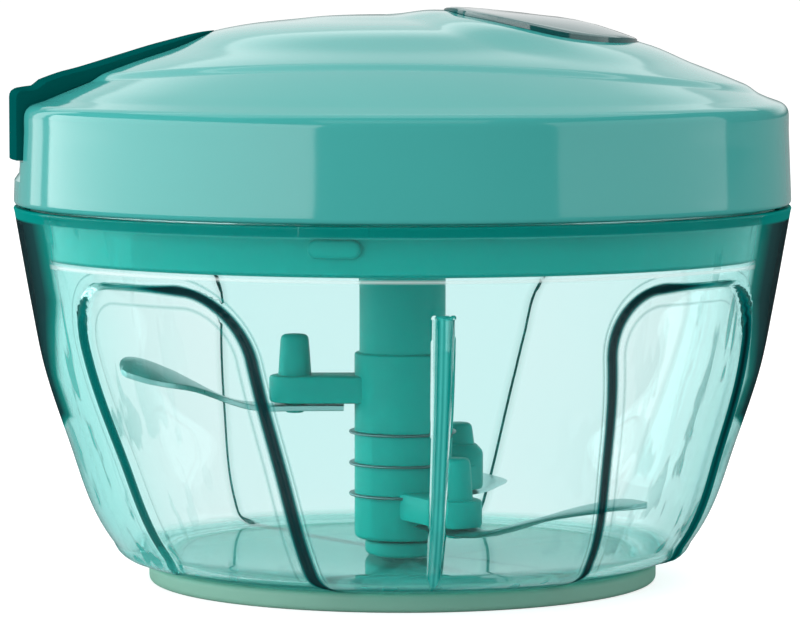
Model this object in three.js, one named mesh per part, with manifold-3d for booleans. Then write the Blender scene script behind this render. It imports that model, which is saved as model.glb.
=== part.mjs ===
// Hand-pulled mini food chopper: a clear bowl on a non-slip foot, a blade unit with three arms, and a
// domed lid that holds a cord reel, its spiral return spring and a pawl clutch.
// Millimetres, +Z up. The origin is the middle of the foot's underside, and the pull handle is on -X.
import * as THREE from 'three';
import { mergeVertices } from 'three/addons/utils/BufferGeometryUtils.js';
import Module from 'manifold-3d';

const wasm = await Module();
wasm.setup();

// Clearances shared by all seats
const seatGap = 0.3;
const runGap = 0.4;
const cutOverrun = 2;

// Foot under the bowl
const footRadiusShare = 0.6565;
const footHeight = 2.9;
const footFloor = 1.5;
const footRim = 2.3;
const footEdgeRound = 0.7;

// Bowl
const bowlRadius = 62;
const bowlHeight = 60.1;
const bowlWall = 2.3;
const bowlFloor = 2.6;
const bowlInnerRound = 7;
const bowlInnerRowShares = [0.07, 0.14, 0.28, 0.5, 0.75, 1];
const bowlEdgeRound = 0.5;
const bowlInnerRoundTurns = [60, 30, 0];
const lipInset = 4.4;
const lipDepth = 1.5;
// Outer profile of the bowl, from its lowest corner to its rim: [share of height, share of radius]
const bowlProfileShares = [
  [0.053, 0.665], [0.068, 0.713], [0.113, 0.752], [0.19, 0.797], [0.374, 0.861],
  [0.571, 0.923], [0.74, 0.956], [0.874, 0.979], [1, 1],
];
const bowlRowShares = [
  0.053, 0.064, 0.078, 0.1, 0.122, 0.17, 0.25, 0.37, 0.5, 0.63, 0.73, 0.765, 0.772, 0.8, 0.82, 0.839,
];

// Relief on the bowl: in each quarter a panel sunk into the wall, and a rib in front and behind
const quarterCount = 4;
const ribEvery = 2;
const firstRibTurn = -84.2;
const ribWidth = 2.9;
const ribHeight = 1.1;
const ribTopShare = 0.7685;
const ribTaperShare = 0.3;
const panelDepth = 1.1;
const panelTopShare = 0.838;
const panelBottomShare = 0.064;
const panelCorner = 11;
const panelLowCorner = 3.5;
const panelEdge = 1.2;
const panelMiddleTurn = 42.5;
const panelHalfTurn = 17.6;
const panelSwirlTurn = 8;
const ribTurns = [-2.1, -1.35, 1.35, 2.1];
const panelTurns = [25.3, 26.4, 33.5, 42.5, 51.5, 58.6, 59.7];
const fieldTurns = [8, 16];
const afterPanelTurns = [69, 78];

// Bayonet between the bowl's lip and the inner lid
const lugCount = 4;
const lugTurn = -10;
const lugWidth = 8;
const lugHeight = 2.8;
const lugReach = 1;
const lugDrop = 1.9;
const notchMargin = 1.2;

// Spindle pin that the blade unit turns on
const pinRadius = 1.6;
const pinSink = 1.1;
const pinStand = 7.6;
const pinBossRadius = 3.4;
const pinBossHeight = 1;

// Bush between the pin and the column
const bushFlangeRadius = 6;
const bushFlangeHeight = 1.9;
const bushWall = 1.3;
const bushTopWall = 1.7;

// Blade column
const columnLowerRadius = 7.7;
const columnUpperRadius = 6.9;
const columnStepShare = 0.702;
const columnChamfer = 0.9;
const socketDepth = 10.5;
const socketCorner = 4.9;
const washerCount = 3;
const washerLowest = 13.9;
const washerPitch = 5;
const washerRadius = 8.6;
const washerThick = 0.5;
const washerSeat = 1.9;

// Blade arms, pegs and blades
const armReach = 21.4;
const armWidth = 8.2;
const armThick = 4.3;
const pegReach = 17.3;
const pegRadius = 2.65;
const pegTipRadius = 2.2;
const pegHeight = 6.6;
const pegRound = 0.9;
const stakeRadius = 1.5;
const stakeLength = 1.7;
const bladeThick = 0.9;
const bladeRootReach = 9.4;
const bladeWidth = 11.5;
const bladeLeanTurn = 18;
const bladeLeanFromShare = 0.4;
const bladeGroundShare = 0.7;
const bladeEdgeShare = 0.85;
// Along a blade: [share of its length, share of full width, share of its rise, share of its sweep]
const bladeShares = [
  [0, 0.55, 0, 0], [0.2, 0.6, 0, 0.01], [0.36, 0.6, 0, 0.04], [0.44, 0.55, 0.06, 0.1],
  [0.52, 0.6, 0.22, 0.2], [0.62, 0.78, 0.5, 0.36], [0.72, 0.95, 0.76, 0.54],
  [0.82, 1, 0.93, 0.72], [0.9, 0.86, 1, 0.86], [0.96, 0.52, 1, 0.95], [1, 0.12, 1, 1],
];
// Each arm: the turn it points to, then its blade's sweep and bank
const armTurns = [180, 58, -61];
const bladeSweepTurns = [24, 20, 31];
const bladeBankTurns = [-13, 6, 4];
// Each arm: as shares of the column's height its underside, its blade's rise and the boss under its peg
const armShares = [[0.55, 0.135, 0], [0.248, 0.0115, 0.06], [0.2, 0.031, 0]];
// Each arm: its blade's reach as a share of the bowl's radius
const bladeReachShares = [0.765, 0.7032, 0.7032];

// Lid shell
const lidWall = 1.8;
const skirtHeight = 15.8;
const skirtDraft = 0.5;
const domeRise = 13.7;
const lidEdgeRound = 0.6;
// The dome from its top to its shoulder: [share of radius, share of rise]
const domeShares = [
  [0, 1], [0.19, 0.984], [0.268, 0.951], [0.4, 0.886], [0.49, 0.804], [0.61, 0.625],
  [0.706, 0.495], [0.763, 0.405], [0.879, 0.195], [0.945, 0.065], [0.982, 0],
];
const domeShoulderShare = 0.982;
const shoulderDrop = 2;
// The raised middle of the dome is an oval, and its edge is the crease seen from the side
const creaseOffsetShare = 0.0323;
const creaseLengthShare = 0.887;
const creaseBreadthShare = 0.734;
const creaseStep = 0.55;
const creaseRunShare = 0.985;
const domeRowShares = [0.12, 0.28, 0.45, 0.62, 0.8, 0.93];
const brimRowShares = [0, 0.35, 0.7, 1];
const ceilingRowShares = [0.93, 0.8, 0.6, 0.4, 0.2];
const shoulderRoundShares = [0.8, 0.4];
// The oval swell on the right of the dome, and the plate let into it
const swellOffsetShare = 0.355;
const swellLengthShare = 0.397;
const swellBreadthShare = 0.581;
const swellRise = 0.75;
const swellEdgeShare = 0.3;
const plateLengthShare = 0.2485;
const plateBreadthShare = 0.387;
const plateProud = 0.35;
const plateSink = 1;
const plateRimShare = 0.94;
const plateRowShares = [0.35, 0.7];
const plateRoundShare = 0.5;

// Inner lid, the plug that closes the bowl's mouth
const plugInset = 0.4;
const plugDrop = 7.7;
const plugWall = 1.8;
const plugPlateRise = 1.9;
const plugPlateThick = 1.8;
const plugFlangeThick = 1.5;
const sealHeight = 1.2;
const sealWidth = 1.3;
const collarWall = 2;
const collarHeight = 2.6;

// Screws that hold the inner lid to the shell's bosses
const screwCount = 3;
const screwRingShare = 0.7097;
const screwFirstTurn = 30;
const screwRadius = 1.4;
const screwLength = 12;
const screwHeadRadius = 2.9;
const screwHeadHeight = 1.3;
const screwSlotWidth = 0.8;
const screwSlotDepth = 0.6;
const bossRadius = 3.3;

// Drive shaft, ratchet wheel and pawls
const shaftRadius = 5.6;
const shaftHubRadius = 6.5;
const hexCorner = 4.35;
const hexLength = 10.2;
const bushShell = 1.9;
const bushRim = 1.8;
const bushRimThick = 0.8;
const ratchetRadius = 12;
const ratchetToothDepth = 1.9;
const ratchetTeeth = 12;
const ratchetThick = 4;
const ratchetRise = 3;
const ratchetRampShare = 0.1;
const pawlCount = 2;
const pawlFirstTurn = 90;
const pawlReach = 6.6;
const pawlEyeRadius = 2.6;
const pawlPinRadius = 1.1;
const pawlLeanTurn = 27;
const pawlNoseWidth = 1.4;
const pawlArmShare = 0.8;
const pawlSpringThick = 0.5;
const pawlSpringGap = 0.5;
const pawlSpringRootShare = 0.35;
const pawlSpringTurnShare = 0.82;
const pawlSpringBendTurn = 3;
const pawlSpringSteps = 6;

// Axle, reel and its winding
const axleRadius = 2.5;
const reelFlangeMargin = 8.4;
const reelFlangeThick = 1.5;
const reelDrumRadius = 15;
const reelGroove = 6.4;
const reelHubWall = 2.2;
const windingDepth = 3.6;
const cordRadius = 0.9;

// Spiral return spring in the cup on top of the reel
const cupInset = 4;
const cupWall = 1.5;
const springBreadth = 5.5;
const springThick = 0.6;
const springTurns = 5;
const springStepsPerTurn = 14;
const arborRadius = 5;
const coverThick = 1.1;

// Pull handle, its cord end and the eyelet
const handleHalfWidth = 17;
const handleSideThick = 1.6;
const handleSinkSide = 0.5;
const handleSinkTop = 0.45;
const handleLift = 7.4;
const handleStand = 2.6;
const handleTipShare = 0.4903;
const handleTopThick = 2.1;
const handleTipThick = 0.8;
const handleRoundSide = 1;
// Along the handle's top: [share of the way from the corner to the tip, share of the half width]
const handleShares = [
  [0, 1], [0.16, 1], [0.34, 0.97], [0.52, 0.9], [0.7, 0.77], [0.86, 0.58], [0.96, 0.36], [1, 0.2],
];
const handleCreaseRunShare = 0.25;
const handleCornerRunShare = 0.1667;
const handleLateralShares = [-1, -0.94, -0.6, -0.2, 0.2, 0.6, 0.94, 1];
const fingerScoopDrop = 2;
const fingerScoopDepth = 0.6;
const fingerScoopWidthShare = 0.9;
const eyeletRadius = 2.3;
const eyeletBore = 1.3;
const eyeletRim = 0.8;
const eyeletRimThick = 0.9;
const eyeletLength = 3;
const ferruleRadius = 1.8;
const cordBendShare = 0.25;
const cordGuideShare = 0.3;
const cordRowShares = [0, 0.35, 0.7, 0.78, 0.84, 0.9, 0.95, 1];

// Facets
const lidSides = 54;
const wideSides = 44;
const midSides = 24;
const smallSides = 16;
const screwSides = 10;
const cordSides = 8;

// Sizes that follow from the ones above
const footRadius = bowlRadius * footRadiusShare;
const creaseOffset = bowlRadius * creaseOffsetShare;
const creaseLength = bowlRadius * creaseLengthShare;
const creaseBreadth = bowlRadius * creaseBreadthShare;
const swellOffset = bowlRadius * swellOffsetShare;
const swellLength = bowlRadius * swellLengthShare;
const swellBreadth = bowlRadius * swellBreadthShare;
const plateLength = bowlRadius * plateLengthShare;
const plateBreadth = bowlRadius * plateBreadthShare;
const screwRing = bowlRadius * screwRingShare;
const pawlRing = ratchetRadius + pawlReach;
const reelFlangeRadius = pawlRing + reelFlangeMargin;
const cupRadius = reelFlangeRadius - cupInset;
const handleTipReach = bowlRadius * handleTipShare;

// Heights that follow from the sizes above
const bowlUnderside = footFloor + seatGap;
const bowlInside = bowlUnderside + bowlFloor;
const lidBottom = bowlHeight + seatGap;
const shoulderHeight = lidBottom + skirtHeight;
const handleBottom = lidBottom + handleLift;
const handleCorner = shoulderHeight + handleStand;
const lidInnerRadius = bowlRadius - lidWall;
const plugRadius = bowlRadius - lipInset - plugInset;
const plugBottom = lidBottom - plugDrop - seatGap;
const plateUnder = plugBottom + plugPlateRise;
const plateTop = plateUnder + plugPlateThick;
const sealBottom = bowlHeight + seatGap;
const plugFlangeBottom = sealBottom + sealHeight + seatGap;
const ratchetBottom = plateTop + collarHeight + ratchetRise;
const ratchetTop = ratchetBottom + ratchetThick;
const reelBottom = ratchetTop + seatGap;
const drumBottom = reelBottom + reelFlangeThick;
const drumTop = drumBottom + reelGroove;
const reelTop = drumTop + reelFlangeThick;
const cordHeight = (drumBottom + drumTop) / 2;
const windingRadius = reelDrumRadius + seatGap + windingDepth;
const springBottom = reelTop + runGap;
const springTop = springBottom + springBreadth;
const cupTop = springTop + seatGap;
const columnBottom = bowlInside + seatGap + bushFlangeHeight + seatGap;
const columnTop = plugBottom - runGap;
const columnStepHeight = columnTop * columnStepShare;
const arms = armTurns.map((turn, i) => {
  const [height, rise, bossHeight] = armShares[i].map((share) => share * columnTop);
  const reach = bowlRadius * bladeReachShares[i];
  return { turn, height, rise, bossHeight, reach, sweep: bladeSweepTurns[i], bank: bladeBankTurns[i] };
});
const pinBottom = bowlInside - pinSink;
const pinTop = bowlInside + pinStand;
const bushBoreTop = pinTop + seatGap;
const bushTop = bushBoreTop + bushTopWall;
const bushBore = pinRadius + seatGap;
const bushSleeve = bushBore + bushWall;

// Materials
const finish = (color, roughness, metalness = 0, opacity = 1) =>
  new THREE.MeshStandardMaterial({ color, roughness, metalness, opacity, transparent: opacity < 1 });
const finishes = {
  clearBowl: () => finish(0x9fe0d4, 0.05, 0, 0.4),
  paleFoot: () => finish(0x9cc8b0, 0.55),
  mintShell: () => finish(0x7cc4bd, 0.18),
  tealMoulding: () => finish(0x009688, 0.35),
  darkTeal: () => finish(0x005a5a, 0.12, 0, 0.9),
  steel: () => finish(0xc5cccc, 0.25, 1),
  springSteel: () => finish(0x8d9499, 0.35, 1),
  whiteMoulding: () => finish(0xe8e8e2, 0.45),
  silicone: () => finish(0xd8ece6, 0.6),
  cord: () => finish(0xf0f0ea, 0.8),
};

// Helpers for closed solids

const radians = (turn) => THREE.MathUtils.degToRad(turn);
const polar = (radius, turn, height) =>
  new THREE.Vector3(radius * Math.cos(radians(turn)), radius * Math.sin(radians(turn)), height);
const clampShare = (value) => Math.min(1, Math.max(0, value));
const smoothShare = (value) => THREE.MathUtils.smoothstep(value, 0, 1);

/** Merges shared corners, drops empty triangles and turns the faces outwards. */
function closed(geometry) {
  const bare = new THREE.BufferGeometry();
  bare.setAttribute('position', geometry.getAttribute('position').clone());
  if (geometry.index) bare.setIndex(geometry.index.clone());
  const merged = mergeVertices(bare, 1e-4);
  const corners = merged.getAttribute('position');
  const source = merged.index.array;
  const kept = [];
  const a = new THREE.Vector3();
  const b = new THREE.Vector3();
  const c = new THREE.Vector3();
  let volume = 0;
  for (let i = 0; i < source.length; i += 3) {
    const [p, q, r] = [source[i], source[i + 1], source[i + 2]];
    if (p === q || q === r || r === p) continue;
    kept.push(p, q, r);
    a.fromBufferAttribute(corners, p);
    b.fromBufferAttribute(corners, q);
    c.fromBufferAttribute(corners, r);
    volume += a.dot(b.cross(c));
  }
  if (volume < 0) {
    for (let i = 0; i < kept.length; i += 3) [kept[i + 1], kept[i + 2]] = [kept[i + 2], kept[i + 1]];
  }
  merged.setIndex(kept);
  merged.computeVertexNormals();
  return merged;
}

/**
 * A closed skin through rows of points, where each row is one ring. The end rings close on their middles,
 * or, on a thin band whose rows run out along one face and back along the other, straight across.
 */
function skin(rows, { band = false } = {}) {
  const count = rows[0].length;
  const points = [];
  const index = [];
  const middle = (row) => row.reduce((sum, p) => sum.add(p), new THREE.Vector3()).divideScalar(count);
  rows.forEach((row) => points.push(...row));
  for (let i = 0; i + 1 < rows.length; i++) {
    for (let k = 0; k < count; k++) {
      const [a, b] = [i * count + k, i * count + (k + 1) % count];
      index.push(a, b, b + count, a, b + count, a + count);
    }
  }
  const base = (rows.length - 1) * count;
  if (band) {
    for (let k = 0; k + 1 < count / 2; k++) {
      const [far, farNext] = [count - 1 - k, count - 2 - k];
      index.push(k, far, farNext, k, farNext, k + 1);
      index.push(base + k, base + farNext, base + far, base + k, base + k + 1, base + farNext);
    }
  } else {
    const first = points.push(middle(rows[0])) - 1;
    const last = points.push(middle(rows[rows.length - 1])) - 1;
    for (let k = 0; k < count; k++) {
      const next = (k + 1) % count;
      index.push(first, next, k);
      index.push(last, base + k, base + next);
    }
  }
  const geometry = new THREE.BufferGeometry();
  geometry.setAttribute('position', new THREE.Float32BufferAttribute(points.flatMap((p) => p.toArray()), 3));
  geometry.setIndex(index);
  return closed(geometry);
}

/** A turned piece from [radius, height] points, closed on the axis or on itself. */
function revolve(profile, sides = midSides) {
  const outline = profile.map(([radius, height]) => new THREE.Vector2(radius, height));
  const [start, end] = [outline[0], outline[outline.length - 1]];
  if (start.x > 0 || end.x > 0) outline.push(start.clone());
  const geometry = new THREE.LatheGeometry(outline, sides);
  geometry.rotateX(Math.PI / 2);
  return closed(geometry);
}

/** A ring of rectangular section. */
function ring(inner, outer, bottom, top, sides = midSides) {
  return revolve([[inner, bottom], [outer, bottom], [outer, top], [inner, top]], sides);
}

/** An upright rod. */
function rod(radius, bottom, top, sides = smallSides, tipRadius = radius) {
  const geometry = new THREE.CylinderGeometry(tipRadius, radius, top - bottom, sides);
  geometry.rotateX(Math.PI / 2);
  geometry.translate(0, 0, (top + bottom) / 2);
  return closed(geometry);
}

/** A rod that lies along X. */
function rodAlongX(radius, from, to, sides = smallSides) {
  return rod(radius, from, to, sides).rotateY(Math.PI / 2);
}

/** A prism of a flat outline, standing on a height. */
function prism(outline, bottom, top) {
  const geometry = new THREE.ExtrudeGeometry(outline, { depth: top - bottom, bevelEnabled: false });
  geometry.translate(0, 0, bottom);
  return closed(geometry);
}

const solidFrom = (geometry) => {
  const merged = closed(geometry);
  return new wasm.Manifold(new wasm.Mesh({
    numProp: 3,
    vertProperties: new Float32Array(merged.getAttribute('position').array),
    triVerts: new Uint32Array(merged.index.array),
  }));
};

const geometryFrom = (solid) => {
  const mesh = solid.getMesh();
  const geometry = new THREE.BufferGeometry();
  geometry.setAttribute('position', new THREE.BufferAttribute(mesh.vertProperties, 3));
  geometry.setIndex(new THREE.BufferAttribute(mesh.triVerts, 1));
  return closed(geometry);
};

const join = (...pieces) => geometryFrom(pieces.map(solidFrom).reduce((sum, next) => sum.add(next)));
const cut = (piece, ...tools) =>
  geometryFrom(tools.map(solidFrom).reduce((sum, next) => sum.subtract(next), solidFrom(piece)));

const turned = (geometry, turn) => geometry.clone().rotateZ(radians(turn));
const moved = (geometry, x, y, z = 0) => geometry.clone().translate(x, y, z);
const evenTurns = (count, first = 0) => Array.from({ length: count }, (_, i) => first + (360 * i) / count);

/** Smooth value at a place along sorted [place, value] points. */
function follow(points, place) {
  const last = points.length - 1;
  let i = 0;
  while (i < last - 1 && place > points[i + 1][0]) i++;
  const [x0, y0] = points[i];
  const [x1, y1] = points[i + 1];
  const slope = (a, b) => (b[1] - a[1]) / (b[0] - a[0]);
  const here = slope(points[i], points[i + 1]);
  const startSlope = i > 0 ? (slope(points[i - 1], points[i]) + here) / 2 : here;
  const endSlope = i + 2 <= last ? (slope(points[i + 1], points[i + 2]) + here) / 2 : here;
  const span = x1 - x0;
  const t = (place - x0) / span;
  const [t2, t3] = [t * t, t * t * t];
  return (2 * t3 - 3 * t2 + 1) * y0 + (t3 - 2 * t2 + t) * span * startSlope
    + (3 * t2 - 2 * t3) * y1 + (t3 - t2) * span * endSlope;
}

// Bowl

const bowlRadiusAt = (height) => bowlRadius * follow(bowlProfileShares, height / bowlHeight);

/** How far a panel is sunk at a turn within its quarter and a height on the bowl. */
function sunkDepth(turn, height) {
  const radius = bowlRadiusAt(height);
  const top = panelTopShare * bowlHeight;
  const bottom = panelBottomShare * bowlHeight;
  const corner = height > (top + bottom) / 2 ? panelCorner : panelLowCorner;
  const across = radius * radians(Math.abs(turn - panelMiddleTurn) - panelHalfTurn) + corner;
  const along = Math.abs(height - (top + bottom) / 2) - (top - bottom) / 2 + corner;
  const beyond = Math.hypot(Math.max(across, 0), Math.max(along, 0));
  const within = Math.min(Math.max(across, along), 0);
  return panelDepth * clampShare((corner - beyond - within) / panelEdge);
}

/** How far the centre rib stands out at a height. */
function ribStand(height) {
  const share = height / bowlHeight;
  if (share > ribTopShare) return 0;
  return ribHeight * clampShare((share - bowlProfileShares[0][0]) / ribTaperShare);
}

/** One ring of the bowl's outer face, with its ribs and sunk panels. */
function bowlOuterRow(height) {
  const swirlShare = 1 - clampShare(height / bowlHeight / panelTopShare);
  const radius = bowlRadiusAt(height);
  const row = [];
  evenTurns(quarterCount, firstRibTurn).forEach((start, quarter) => {
    ribTurns.forEach((turn, i) => {
      const raised = quarter % ribEvery === 0 && (i === 1 || i === 2);
      const half = (turn / ribTurns[2]) * (ribWidth / 2 / bowlRadius);
      const stand = raised ? ribStand(height) : 0;
      row.push(polar(radius + stand, start + THREE.MathUtils.radToDeg(half), height));
    });
    const place = (turn, swirl) => row.push(
      polar(radius - sunkDepth(turn, height), start + turn + swirl * panelSwirlTurn * swirlShare, height));
    fieldTurns.forEach((turn) => place(turn, turn / panelTurns[0]));
    panelTurns.forEach((turn) => place(turn, 1));
    const whole = 360 / quarterCount;
    afterPanelTurns.forEach((turn) => place(turn, (whole - turn) / (whole - panelTurns.at(-1))));
  });
  return row;
}

/** A plain ring with the same number of points as the bowl's outer rows. */
const bowlPlainRow = (radius, height) => bowlOuterRow(bowlHeight).map((point) => {
  const turn = THREE.MathUtils.radToDeg(Math.atan2(point.y, point.x));
  return polar(radius, turn, height);
});

function bowlGeometry() {
  const innerRadiusAt = (height) => bowlRadiusAt(height) - bowlWall;
  const footSeat = footRadius - footRim - seatGap;
  const underside = bowlProfileShares[0][0] * bowlHeight;
  const lipRadius = bowlRadius - lipInset;
  const lipBottom = bowlHeight - lipDepth;
  const rows = [
    bowlPlainRow(footSeat - footEdgeRound, bowlUnderside),
    bowlPlainRow(footSeat, bowlUnderside + footEdgeRound),
    bowlPlainRow(footSeat, underside),
    ...bowlRowShares.map((share) => bowlOuterRow(share * bowlHeight)),
    bowlPlainRow(bowlRadius, bowlHeight - bowlEdgeRound),
    bowlPlainRow(bowlRadius - bowlEdgeRound, bowlHeight),
    bowlPlainRow(lipRadius, bowlHeight),
    bowlPlainRow(lipRadius, lipBottom),
    bowlPlainRow(innerRadiusAt(lipBottom), lipBottom),
  ];
  const roundTop = bowlInside + bowlInnerRound;
  for (const share of bowlInnerRowShares) {
    const height = THREE.MathUtils.lerp(lipBottom, roundTop, share);
    rows.push(bowlPlainRow(innerRadiusAt(height), height));
  }
  const cornerMiddle = innerRadiusAt(roundTop) - bowlInnerRound;
  for (const turn of bowlInnerRoundTurns) {
    rows.push(bowlPlainRow(
      cornerMiddle + bowlInnerRound * Math.sin(radians(turn)),
      roundTop - bowlInnerRound * Math.cos(radians(turn))));
  }
  rows.push(
    bowlPlainRow(pinBossRadius, bowlInside),
    bowlPlainRow(pinBossRadius, bowlInside + pinBossHeight),
    bowlPlainRow(pinRadius + seatGap, bowlInside + pinBossHeight),
    bowlPlainRow(pinRadius + seatGap, pinBottom - seatGap));
  const lip = lipRadius - cutOverrun;
  const notchWidth = lugWidth + 2 * notchMargin;
  const notch = new THREE.Shape([
    new THREE.Vector2(lip, -notchWidth / 2),
    new THREE.Vector2(plugRadius + lugReach + seatGap, -notchWidth / 2),
    new THREE.Vector2(plugRadius + lugReach + seatGap, notchWidth / 2),
    new THREE.Vector2(lip, notchWidth / 2),
  ]);
  const notchTool = prism(notch, lipBottom - seatGap, bowlHeight + cutOverrun);
  return cut(skin(rows), ...evenTurns(lugCount, lugTurn).map((turn) => turned(notchTool, turn)));
}

function footGeometry() {
  const inner = footRadius - footRim;
  return revolve([
    [0, 0], [footRadius - footEdgeRound, 0], [footRadius, footEdgeRound],
    [footRadius, footHeight - footEdgeRound], [footRadius - footEdgeRound, footHeight], [inner, footHeight],
    [inner, footFloor + footEdgeRound], [inner - footEdgeRound, footFloor], [0, footFloor],
  ], wideSides);
}

function pinGeometry() {
  return revolve([
    [0, pinBottom], [pinRadius, pinBottom], [pinRadius, pinTop - pinRadius / 2],
    [pinRadius / 2, pinTop], [0, pinTop],
  ], smallSides);
}

// Blade unit

function bushGeometry() {
  const bottom = bowlInside + seatGap;
  const bossTop = bowlInside + pinBossHeight + seatGap;
  const flangeTop = bottom + bushFlangeHeight;
  return revolve([
    [0, bushBoreTop], [bushBore, bushBoreTop], [bushBore, bossTop], [pinBossRadius + seatGap, bossTop],
    [pinBossRadius + seatGap, bottom], [bushFlangeRadius, bottom], [bushFlangeRadius, flangeTop],
    [bushSleeve, flangeTop], [bushSleeve, bushTop], [0, bushTop],
  ], smallSides);
}

const washerHeights = Array.from({ length: washerCount }, (_, i) => washerLowest + i * washerPitch);

function hexagon(corner) {
  return new THREE.Shape(evenTurns(6).map((turn) => {
    const point = polar(corner, turn, 0);
    return new THREE.Vector2(point.x, point.y);
  }));
}

/** The moulded column with its three arms, their pegs and the stakes that hold the blades. */
function columnGeometry() {
  const bore = bushSleeve + seatGap;
  const post = revolve([
    [0, bushTop + seatGap], [bore, bushTop + seatGap], [bore, columnBottom],
    [columnLowerRadius - columnChamfer, columnBottom], [columnLowerRadius, columnBottom + columnChamfer],
    [columnLowerRadius, columnStepHeight], [columnUpperRadius, columnStepHeight],
    [columnUpperRadius, columnTop - columnChamfer], [columnUpperRadius - columnChamfer, columnTop],
    [0, columnTop],
  ], midSides);
  const socket = prism(hexagon(socketCorner), columnTop - socketDepth, columnTop + cutOverrun);
  const armPieces = arms.flatMap((arm) => {
    const bar = new THREE.Shape();
    const rounded = armWidth / 2;
    bar.moveTo(washerSeat + seatGap, -rounded);
    bar.lineTo(armReach - rounded, -rounded);
    bar.absarc(armReach - rounded, 0, rounded, -Math.PI / 2, Math.PI / 2, false);
    bar.lineTo(washerSeat + seatGap, rounded);
    const top = arm.height + armThick + arm.bossHeight;
    const pegTop = arm.height + armThick + pegHeight;
    const stakeBottom = arm.height - stakeLength;
    const peg = revolve([
      [0, stakeBottom], [stakeRadius, stakeBottom], [stakeRadius, arm.height + seatGap],
      [pegRadius, arm.height + seatGap], [pegRadius, arm.height + armThick],
      [pegTipRadius, pegTop - pegRound], [pegTipRadius - pegRound, pegTop], [0, pegTop],
    ], smallSides);
    const pieces = [prism(bar, arm.height, arm.height + armThick), moved(peg, pegReach, 0)];
    if (arm.bossHeight > 0) {
      pieces.push(moved(rod(rounded, arm.height + armThick / 2, top, smallSides, pegRadius), pegReach, 0));
    }
    return pieces.map((piece) => turned(piece, arm.turn));
  });
  const grooveClear = washerHeights.map((height) => ring(
    columnLowerRadius - washerSeat, washerRadius + seatGap,
    height - washerThick / 2 - seatGap, height + washerThick / 2 + seatGap));
  const boreClear = rod(bore, columnBottom - cutOverrun, bushTop + seatGap);
  return cut(join(post, ...armPieces), socket, boreClear, ...grooveClear);
}

function washerGeometry(height) {
  const inner = columnLowerRadius - washerSeat + seatGap;
  return ring(inner, washerRadius, height - washerThick / 2, height + washerThick / 2);
}

/** A scimitar blade with one ground edge, swept back and lifted along its outer half. */
function bladeGeometry(arm) {
  const topFace = arm.height - seatGap;
  const rows = bladeShares.map(([along, width, rise, sweep]) => {
    const reach = THREE.MathUtils.lerp(bladeRootReach, arm.reach, along);
    const turn = sweep * arm.sweep;
    const middle = polar(reach, turn, topFace + rise * arm.rise);
    const lean = turn + (along > bladeLeanFromShare ? bladeLeanTurn : 0);
    const side = polar(1, lean + 90, Math.sin(radians(arm.bank * rise)));
    const half = (width * bladeWidth) / 2;
    const at = (across, down) =>
      middle.clone().addScaledVector(side, across * half).add(new THREE.Vector3(0, 0, -down));
    return [
      at(1, 0), at(1, bladeThick), at(-bladeGroundShare, bladeThick), at(-1, bladeThick * bladeEdgeShare),
      at(-bladeGroundShare, 0),
    ];
  });
  const hole = rod(stakeRadius + seatGap, arm.height - cutOverrun - bladeThick, arm.height, screwSides);
  return cut(skin(rows), moved(hole, pegReach, 0));
}

// Lid shell

const domeHeightAt = (radius) =>
  shoulderHeight + domeRise * follow(domeShares, Math.min(radius / bowlRadius, domeShoulderShare));

/** Height of the lid's top face, with its raised middle and the oval swell. */
function lidTopAt(x, y) {
  const crease = Math.hypot((x - creaseOffset) / creaseLength, y / creaseBreadth);
  const swell = Math.hypot((x - swellOffset) / swellLength, y / swellBreadth);
  const raised = clampShare((1 - crease) / (1 - creaseRunShare)) * creaseStep;
  const swollen = smoothShare(clampShare((1 - swell) / swellEdgeShare)) * swellRise;
  return domeHeightAt(Math.hypot(x, y)) + raised + swollen;
}

/** Distance from the axis to the crease at a turn. */
function creaseReachAt(turn) {
  const [c, s] = [Math.cos(radians(turn)), Math.sin(radians(turn))];
  const a = (c / creaseLength) ** 2 + (s / creaseBreadth) ** 2;
  const b = (-2 * creaseOffset * c) / creaseLength ** 2;
  const d = (creaseOffset / creaseLength) ** 2 - 1;
  return (-b + Math.sqrt(b * b - 4 * a * d)) / (2 * a);
}

const lidTurns = evenTurns(lidSides);
const plainRow = (radius, height) => lidTurns.map((turn) => polar(radius, turn, height));

/** Outline of the handle: pairs of inner and outer [radius, height], grown by a clearance. */
function handleStations(grow) {
  const inner = bowlRadius - handleSinkSide - grow;
  const outer = bowlRadius - handleSinkSide + handleSideThick + grow;
  const topRun = outer - 2 * handleRoundSide - handleTipReach + grow;
  const stations = [
    { width: 1, inner: [inner, handleBottom - grow], outer: [outer, handleBottom - grow] },
    {
      width: 1,
      inner: [inner, shoulderHeight - shoulderDrop],
      outer: [outer, handleCorner - handleRoundSide],
    },
  ];
  handleShares.forEach(([along, width]) => {
    const radius = outer - 2 * handleRoundSide - along * topRun;
    const innerRadius = Math.min(radius, domeShoulderShare * inner);
    const step = creaseStep * clampShare(along / handleCreaseRunShare);
    const floor = domeHeightAt(innerRadius) + step - handleSinkTop - grow;
    const thick = THREE.MathUtils.lerp(handleTopThick, handleTipThick, along);
    const cornerRoof = handleCorner * (1 - clampShare(along / handleCornerRunShare));
    const roof = Math.max(floor + thick + 2 * grow, cornerRoof);
    stations.push({ width, inner: [innerRadius, floor], outer: [radius, roof + (along ? 0 : grow)] });
  });
  return stations;
}

/** The handle wraps the lid's shoulder: each station is a band across it that follows the lid's curve. */
function handleBody(grow) {
  const rows = handleStations(grow).map(({ width, inner, outer }) => {
    const half = handleHalfWidth * width + grow;
    const at = ([radius, height], share) => {
      const y = share * half;
      return new THREE.Vector3(-Math.sqrt(radius * radius - y * y), y, height);
    };
    return [
      ...handleLateralShares.map((share) => at(outer, share)),
      ...handleLateralShares.toReversed().map((share) => at(inner, share)),
    ];
  });
  return skin(rows, { band: true });
}

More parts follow.
